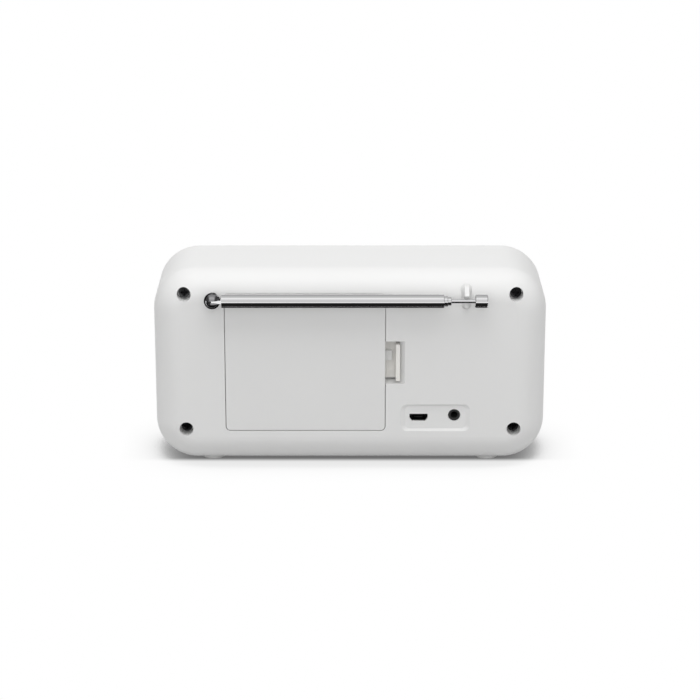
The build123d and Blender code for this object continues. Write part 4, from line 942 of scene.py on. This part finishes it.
@dataclass
class Controls(SubAssembly):
    """Display, buttons and rotary control."""

    digit_height: float = 11.0 * MM
    digit_width: float = 6.0 * MM
    digit_gap: float = 3.4 * MM
    stroke: float = 1.1 * MM
    slant: float = 0.1
    lift: float = 0.05 * MM
    print_share: float = 0.8
    point: float = 0.02 * MM
    dot_share: float = 0.55
    dot_sides: int = 24
    bar_gap: float = 0.1 * MM
    colon_heights: tuple[float, float] = (0.3, 0.7)
    scale_marks: int = 11
    scale_sweep: float = 270.0
    scale_gap: float = 1.6 * MM
    scale_lift: float = 0.03 * MM
    scale_depth: float = 0.028 * MM
    mark_length: float = 1.6 * MM
    mark_least: float = 0.5
    mark_width: float = 0.4 * MM
    nodes: dict[str, AnyFinish] = field(
        default_factory=lambda: {
            "display_window": WINDOW,
            "display_module": DISPLAY,
            "power_button": BUTTON,
            "band_button": BUTTON,
            "preset_button": BUTTON,
            "menu_button": BUTTON,
            "alarm_button": BUTTON,
            "volume_knob": KNOB,
            "encoder_body": TURNED,
            "encoder_plunger": TURNED,
            "encoder_shaft": TURNED,
            "encoder_nut": NICKEL,
        }
    )

    def build(self) -> None:
        """Makes the display's digits and the printed scale round the knob."""
        self._digits()
        self._scale()

    def _digits(self) -> None:
        """Seven-bar digits of a clock, standing on the display's face."""
        low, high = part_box("display_module")
        face = low.y - self.lift
        middle = Vector(((low.x + high.x) / 2, face, (low.z + high.z) / 2))
        bars = {
            "top": ((0.0, 1.0), True),
            "middle": ((0.0, 0.5), True),
            "bottom": ((0.0, 0.0), True),
            "upper_left": ((0.0, 0.5), False),
            "upper_right": ((1.0, 0.5), False),
            "lower_left": ((0.0, 0.0), False),
            "lower_right": ((1.0, 0.0), False),
        }
        shown = {
            1: ("upper_right", "lower_right"),
            2: ("top", "upper_right", "middle", "lower_left", "bottom"),
            0: ("top", "bottom", "upper_left", "upper_right", "lower_left", "lower_right"),
        }
        step = self.digit_width + self.digit_gap
        mesh = bmesh.new()
        for i, digit in enumerate((1, 2, 0, 0)):
            shift = (i - 1.5) * step + (self.digit_gap if i > 1 else -self.digit_gap) / 2
            left = middle.x + shift - self.digit_width / 2
            base = middle.z - self.digit_height / 2
            for bar in shown[digit]:
                (across, up), flat = bars[bar]
                self._bar(mesh, left, base, across, up, flat, face)
        for up in self.colon_heights:
            z = middle.z - self.digit_height / 2 + up * self.digit_height
            center = Vector((middle.x, face, z))
            tube(mesh, center, Vector((0, 1, 0)), self._dot(), self.dot_sides)
        add_piece("display_digits", mesh, "casing", SEGMENT)

    def _dot(self) -> list[tuple[float, float]]:
        """The section of a colon's dot."""
        radius, depth = self.dot_share * self.stroke, self.print_share * self.lift
        return [(self.point, 0.0), (radius, 0.0), (radius, depth), (self.point, depth)]

    def _bar(
        self,
        mesh: bmesh.types.BMesh,
        left: float,
        base: float,
        across: float,
        up: float,
        flat: bool,
        face: float,
    ) -> None:
        """Adds one bar of a digit, with pointed ends.

        Args:
            mesh: The mesh that takes it.
            left: The digit's left edge.
            base: The digit's lower edge.
            across: The bar's start, as a share of the width.
            up: The bar's start, as a share of the height.
            flat: True for a level bar.
            face: The Y that the bar's front lies at.
        """
        half = self.stroke / 2
        length = self.digit_width if flat else self.digit_height / 2
        points = [
            (self.bar_gap, 0),
            (half, half),
            (length - half, half),
            (length - self.bar_gap, 0),
            (length - half, -half),
            (half, -half),
        ]
        outline = []
        for along, side in points:
            x, z = (along, side) if flat else (side, along)
            z += up * self.digit_height
            x += across * self.digit_width + self.slant * (z - self.digit_height / 2)
            outline.append(Vector((left + x, face, base + z)))
        slab(mesh, outline, Vector((0, self.print_share * self.lift, 0)))

    def _scale(self) -> None:
        """Plain marks round the knob that grow towards the loud end."""
        low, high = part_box("volume_knob")
        shell_low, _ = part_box("front_shell")
        front = shell_low.y - self.scale_lift
        center = Vector(((low.x + high.x) / 2, front, (low.z + high.z) / 2))
        radius = (high.x - low.x) / 2 + self.scale_gap
        mesh = bmesh.new()
        for i in range(self.scale_marks):
            share = i / (self.scale_marks - 1)
            turn = radians(90 + self.scale_sweep * (0.5 - share))
            along = Vector((cos(turn), 0, sin(turn)))
            side = Vector((-sin(turn), 0, cos(turn))) * self.mark_width / 2
            inner = center + along * radius
            grown = self.mark_least + (1 - self.mark_least) * share
            outer = inner + along * self.mark_length * grown
            corners = [inner - side, inner + side, outer + side, outer - side]
            slab(mesh, corners, Vector((0, self.scale_depth, 0)))
        add_piece("volume_scale", mesh, "casing", PRINT)


# ---------------------------------------------------------------- studio
@dataclass
class Studio:
    """Floor, soft light and camera."""

    floor_size: float = 6.0
    elevation: float = 17.76
    camera_place: tuple[float, float, float] = (0.0, 1.11201, 0.40739)
    lens: float = 121.37
    sensor: float = 36.0
    clip_start: float = 0.01
    # Painted floor shadow: ambient occlusion reach and the greys it maps to, then a painted
    # lighter strip towards +Y.
    painted_shadow_reach: float = 26.0 * MM
    painted_shadow_levels: tuple[tuple[float, float], ...] = (
        (0.0, 0.14),
        (0.14, 0.18),
        (0.21, 0.21),
        (0.30, 0.27),
        (0.40, 0.36),
        (0.48, 0.44),
        (0.52, 0.66),
        (0.56, 0.78),
        (0.60, 0.85),
        (0.73, 0.94),
        (0.88, 0.98),
        (1.0, 1.0),
    )
    painted_light_edge: tuple[float, float] = (15.0 * MM, 21.0 * MM)
    painted_light_share: float = 0.75
    floor_tone: Color = (0.53, 0.53, 0.53)
    sky: float = 0.53
    lamp_size: float = 1.1
    lamp_distance: float = 1.3
    lamp_aim: float = 0.05
    lamps: tuple[tuple[str, float, float, float], ...] = (
        ("key", 10.2, 78.0, 90.0),
        ("fill", 3.0, 16.0, -70.0),
        ("low", 4.6, 14.0, 90.0),
    )
    # Painted reflections: black cards seen only in reflections, lying on the floor at the radio's
    # back and standing just off the rear shell, so metal mirrors dark there.
    floor_dark_reflection: tuple[tuple[float, float], ...] = (
        (-0.45, 0.03),
        (0.45, 0.03),
        (0.45, 0.30),
        (-0.45, 0.30),
    )
    back_dark_reflection: tuple[tuple[float, float], ...] = (
        (-0.068, 0.026),
        (-0.068, 0.083),
        (0.062, 0.083),
        (0.062, 0.098),
        (0.094, 0.098),
        (0.094, 0.026),
    )
    mirrored: tuple[tuple[float, float], ...] = (
        (0.0, 0.72),
        (0.13, 0.63),
        (0.23, 0.78),
        (0.31, 0.93),
        (0.35, 1.0),
        (0.39, 0.80),
        (0.44, 0.63),
        (0.56, 0.53),
        (0.70, 0.41),
        (0.86, 0.42),
        (1.0, 0.55),
    )
    boxes_end: tuple[float, float] = (0.45, 0.75)
    boxes_dark: Color = (0.10, 0.10, 0.10)
    dark_reflection_tone: Color = (0.012, 0.012, 0.012)
    dark_reflection_height: float = 2.0 * MM
    dark_reflection_gap: float = 0.6 * MM

    def build(self) -> None:
        """Makes the camera, the floor, the black cards that paint dark reflections, the world and
        the lamps.
        """
        self._camera()
        self._floor()
        self._dark_reflection_card("floor_dark_reflection", [Vector((x, y, self.dark_reflection_height)) for x, y in self.floor_dark_reflection])
        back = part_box("rear_shell")[1].y + self.dark_reflection_gap
        self._dark_reflection_card("back_dark_reflection", [Vector((x, back, z)) for x, z in self.back_dark_reflection])
        self._world()
        for name, power, elevation, heading in self.lamps:
            self._lamp(name, power, elevation, heading)
        bpy.context.scene.view_settings.view_transform = "Standard"

    def _camera(self) -> None:
        """Camera behind the radio, a little above it."""
        data = bpy.data.cameras.new("camera")
        data.lens = self.lens
        data.sensor_width = self.sensor
        data.clip_start = self.clip_start
        camera = bpy.data.objects.new("camera", data)
        camera.location = self.camera_place
        camera.rotation_euler = (radians(90.0 - self.elevation), 0.0, radians(180.0))
        bpy.context.scene.collection.objects.link(camera)
        bpy.context.scene.camera = camera

    def _floor(self) -> None:
        """Self-lit pale floor with a painted shadow round the radio that fades into white away
        from it.
        """
        mesh = bmesh.new()
        bmesh.ops.create_grid(mesh, x_segments=8, y_segments=8, size=self.floor_size / 2)
        floor = stand("floor", mesh)
        material, graph = blank_material("floor")
        lit = graph.node("ShaderNodeBsdfDiffuse", Color=(*self.floor_tone, 1.0))
        white = graph.node("ShaderNodeEmission", Strength=1.0)
        # Painted shadow: the camera sees a self-lit floor whose grey follows ambient occlusion,
        # not the lamps' shadows.
        near = graph.node("ShaderNodeAmbientOcclusion", samples=16, Distance=self.painted_shadow_reach)
        place = graph.node("ShaderNodeTexCoord")
        split = graph.node("ShaderNodeSeparateXYZ")
        graph.link(place.outputs["Object"], split.inputs["Vector"])
        # Painted light: the floor is made lighter towards +Y, just past the radio's back edge.
        behind = graph.ramp(split.outputs["Y"], *self.painted_light_edge)
        painted_light = graph.value("MULTIPLY", behind, self.painted_light_share)
        shade = self._steps(graph, near.outputs["AO"], self.painted_shadow_levels)
        graph.link(graph.mix(painted_light, shade, (1.0, 1.0, 1.0)), white.inputs["Color"])
        rays = graph.node("ShaderNodeLightPath")
        seen = graph.value("MAXIMUM", rays.outputs["Is Camera Ray"], rays.outputs["Is Glossy Ray"])
        seen = graph.value("MAXIMUM", seen, rays.outputs["Is Transmission Ray"])
        blend = graph.node("ShaderNodeMixShader")
        graph.link(seen, blend.inputs[0])
        graph.link(lit.outputs[0], blend.inputs[1])
        graph.link(white.outputs[0], blend.inputs[2])
        end = graph.node("ShaderNodeOutputMaterial")
        graph.link(blend.outputs[0], end.inputs["Surface"])
        floor.data.materials.append(material)

    def _dark_reflection_card(self, name: str, corners: list[Vector]) -> None:
        """Black card that shows only in reflections, from its front side: a painted dark
        reflection.

        Args:
            name: The card's name.
            corners: Its corners, counter-clockwise from the front.
        """
        mesh = bmesh.new()
        mesh.faces.new([mesh.verts.new(corner) for corner in corners])
        flag = stand(name, mesh)
        material, graph = blank_material(name)
        black = graph.node("ShaderNodeBsdfDiffuse", Color=(*self.dark_reflection_tone, 1.0))
        clear = graph.node("ShaderNodeBsdfTransparent")
        side = graph.node("ShaderNodeNewGeometry")
        blend = graph.node("ShaderNodeMixShader")
        end = graph.node("ShaderNodeOutputMaterial")
        graph.link(side.outputs["Backfacing"], blend.inputs[0])
        graph.link(black.outputs[0], blend.inputs[1])
        graph.link(clear.outputs[0], blend.inputs[2])
        graph.link(blend.outputs[0], end.inputs["Surface"])
        flag.data.materials.append(material)
        flag.visible_camera = False
        flag.visible_diffuse = False
        flag.visible_shadow = False
        flag.visible_transmission = False

    def _world(self) -> None:
        """Even studio light, white where the camera looks past the floor."""
        world = bpy.data.worlds.new("studio")
        bpy.context.scene.world = world
        world.use_nodes = True
        graph = Graph(world.node_tree)
        soft = graph.node("ShaderNodeBackground", Color=(1.0, 1.0, 1.0, 1.0), Strength=self.sky)
        white = graph.node("ShaderNodeBackground", Color=(1.0, 1.0, 1.0, 1.0), Strength=1.0)
        boxes = graph.node("ShaderNodeBackground", Strength=1.0)
        graph.link(self._soft_boxes(graph), boxes.inputs["Color"])
        rays = graph.node("ShaderNodeLightPath")
        mirror = graph.node("ShaderNodeMixShader")
        graph.link(rays.outputs["Is Glossy Ray"], mirror.inputs[0])
        graph.link(soft.outputs[0], mirror.inputs[1])
        graph.link(boxes.outputs[0], mirror.inputs[2])
        blend = graph.node("ShaderNodeMixShader")
        end = graph.node("ShaderNodeOutputWorld")
        camera, through = rays.outputs["Is Camera Ray"], rays.outputs["Is Transmission Ray"]
        seen = graph.value("MAXIMUM", camera, through)
        graph.link(seen, blend.inputs[0])
        graph.link(mirror.outputs[0], blend.inputs[1])
        graph.link(white.outputs[0], blend.inputs[2])
        graph.link(blend.outputs[0], end.inputs["Surface"])

    def _soft_boxes(self, graph: Graph) -> bpy.types.NodeSocket:
        """Long soft boxes that gloss and metal mirror, from behind the radio over it to its front.

        Args:
            graph: The world's graph.

        Returns:
            The colour for each direction.
        """
        place = graph.node("ShaderNodeTexCoord")
        split = graph.node("ShaderNodeSeparateXYZ")
        graph.link(place.outputs["Generated"], split.inputs["Vector"])
        above = graph.value("MAXIMUM", split.outputs["Z"], 0.0)
        turn = graph.value("DIVIDE", graph.value("ARCTAN2", above, split.outputs["Y"]), pi)
        beside = graph.ramp(graph.value("ABSOLUTE", split.outputs["X"], 0.0), *self.boxes_end)
        return graph.mix(beside, self._steps(graph, turn, self.mirrored), self.boxes_dark)

    @staticmethod
    def _steps(
        graph: Graph, source: bpy.types.NodeSocket, levels: tuple[tuple[float, float], ...]
    ) -> bpy.types.NodeSocket:
        """Grey that follows a table.

        Args:
            graph: The graph that takes it.
            source: The value to look up, from 0 to 1.
            levels: Pairs of value and grey.

        Returns:
            The grey's output.
        """
        ramp = graph.node("ShaderNodeValToRGB")
        graph.link(source, ramp.inputs["Fac"])
        stops = ramp.color_ramp.elements
        while len(stops) < len(levels):
            stops.new(0.5)
        for stop, (place, level) in zip(stops, levels):
            stop.position = place
            stop.color = (level, level, level, 1.0)
        return ramp.outputs["Color"]

    def _lamp(self, name: str, power: float, elevation: float, heading: float) -> None:
        """Adds a soft box that points at the radio.

        Args:
            name: The lamp's name.
            power: Its power in watts.
            elevation: Degrees above the floor.
            heading: Degrees round from +X towards +Y.
        """
        data = bpy.data.lights.new(name, "AREA")
        data.energy = power
        data.size = self.lamp_size
        lamp = bpy.data.objects.new(name, data)
        rise, turn = radians(elevation), radians(heading)
        toward = Vector((cos(rise) * cos(turn), cos(rise) * sin(turn), sin(rise)))
        lamp.location = Vector((0, 0, self.lamp_aim)) + toward * self.lamp_distance
        lamp.rotation_euler = toward.to_track_quat("Z", "Y").to_euler()
        lamp.visible_camera = False
        lamp.visible_glossy = False
        bpy.context.scene.collection.objects.link(lamp)


def main() -> None:
    """Builds the studio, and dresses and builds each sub-assembly."""
    logging.basicConfig(level=logging.INFO, format="%(message)s")
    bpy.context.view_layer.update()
    Studio().build()
    for kind in (Casing, BatteryCompartment, Aerial, Electronics, Loudspeaker, Controls):
        assembly = kind()
        assembly.dress()
        assembly.build()
        LOG.info("finished %s", kind.__name__)


if __name__ == "__main__":
    main()
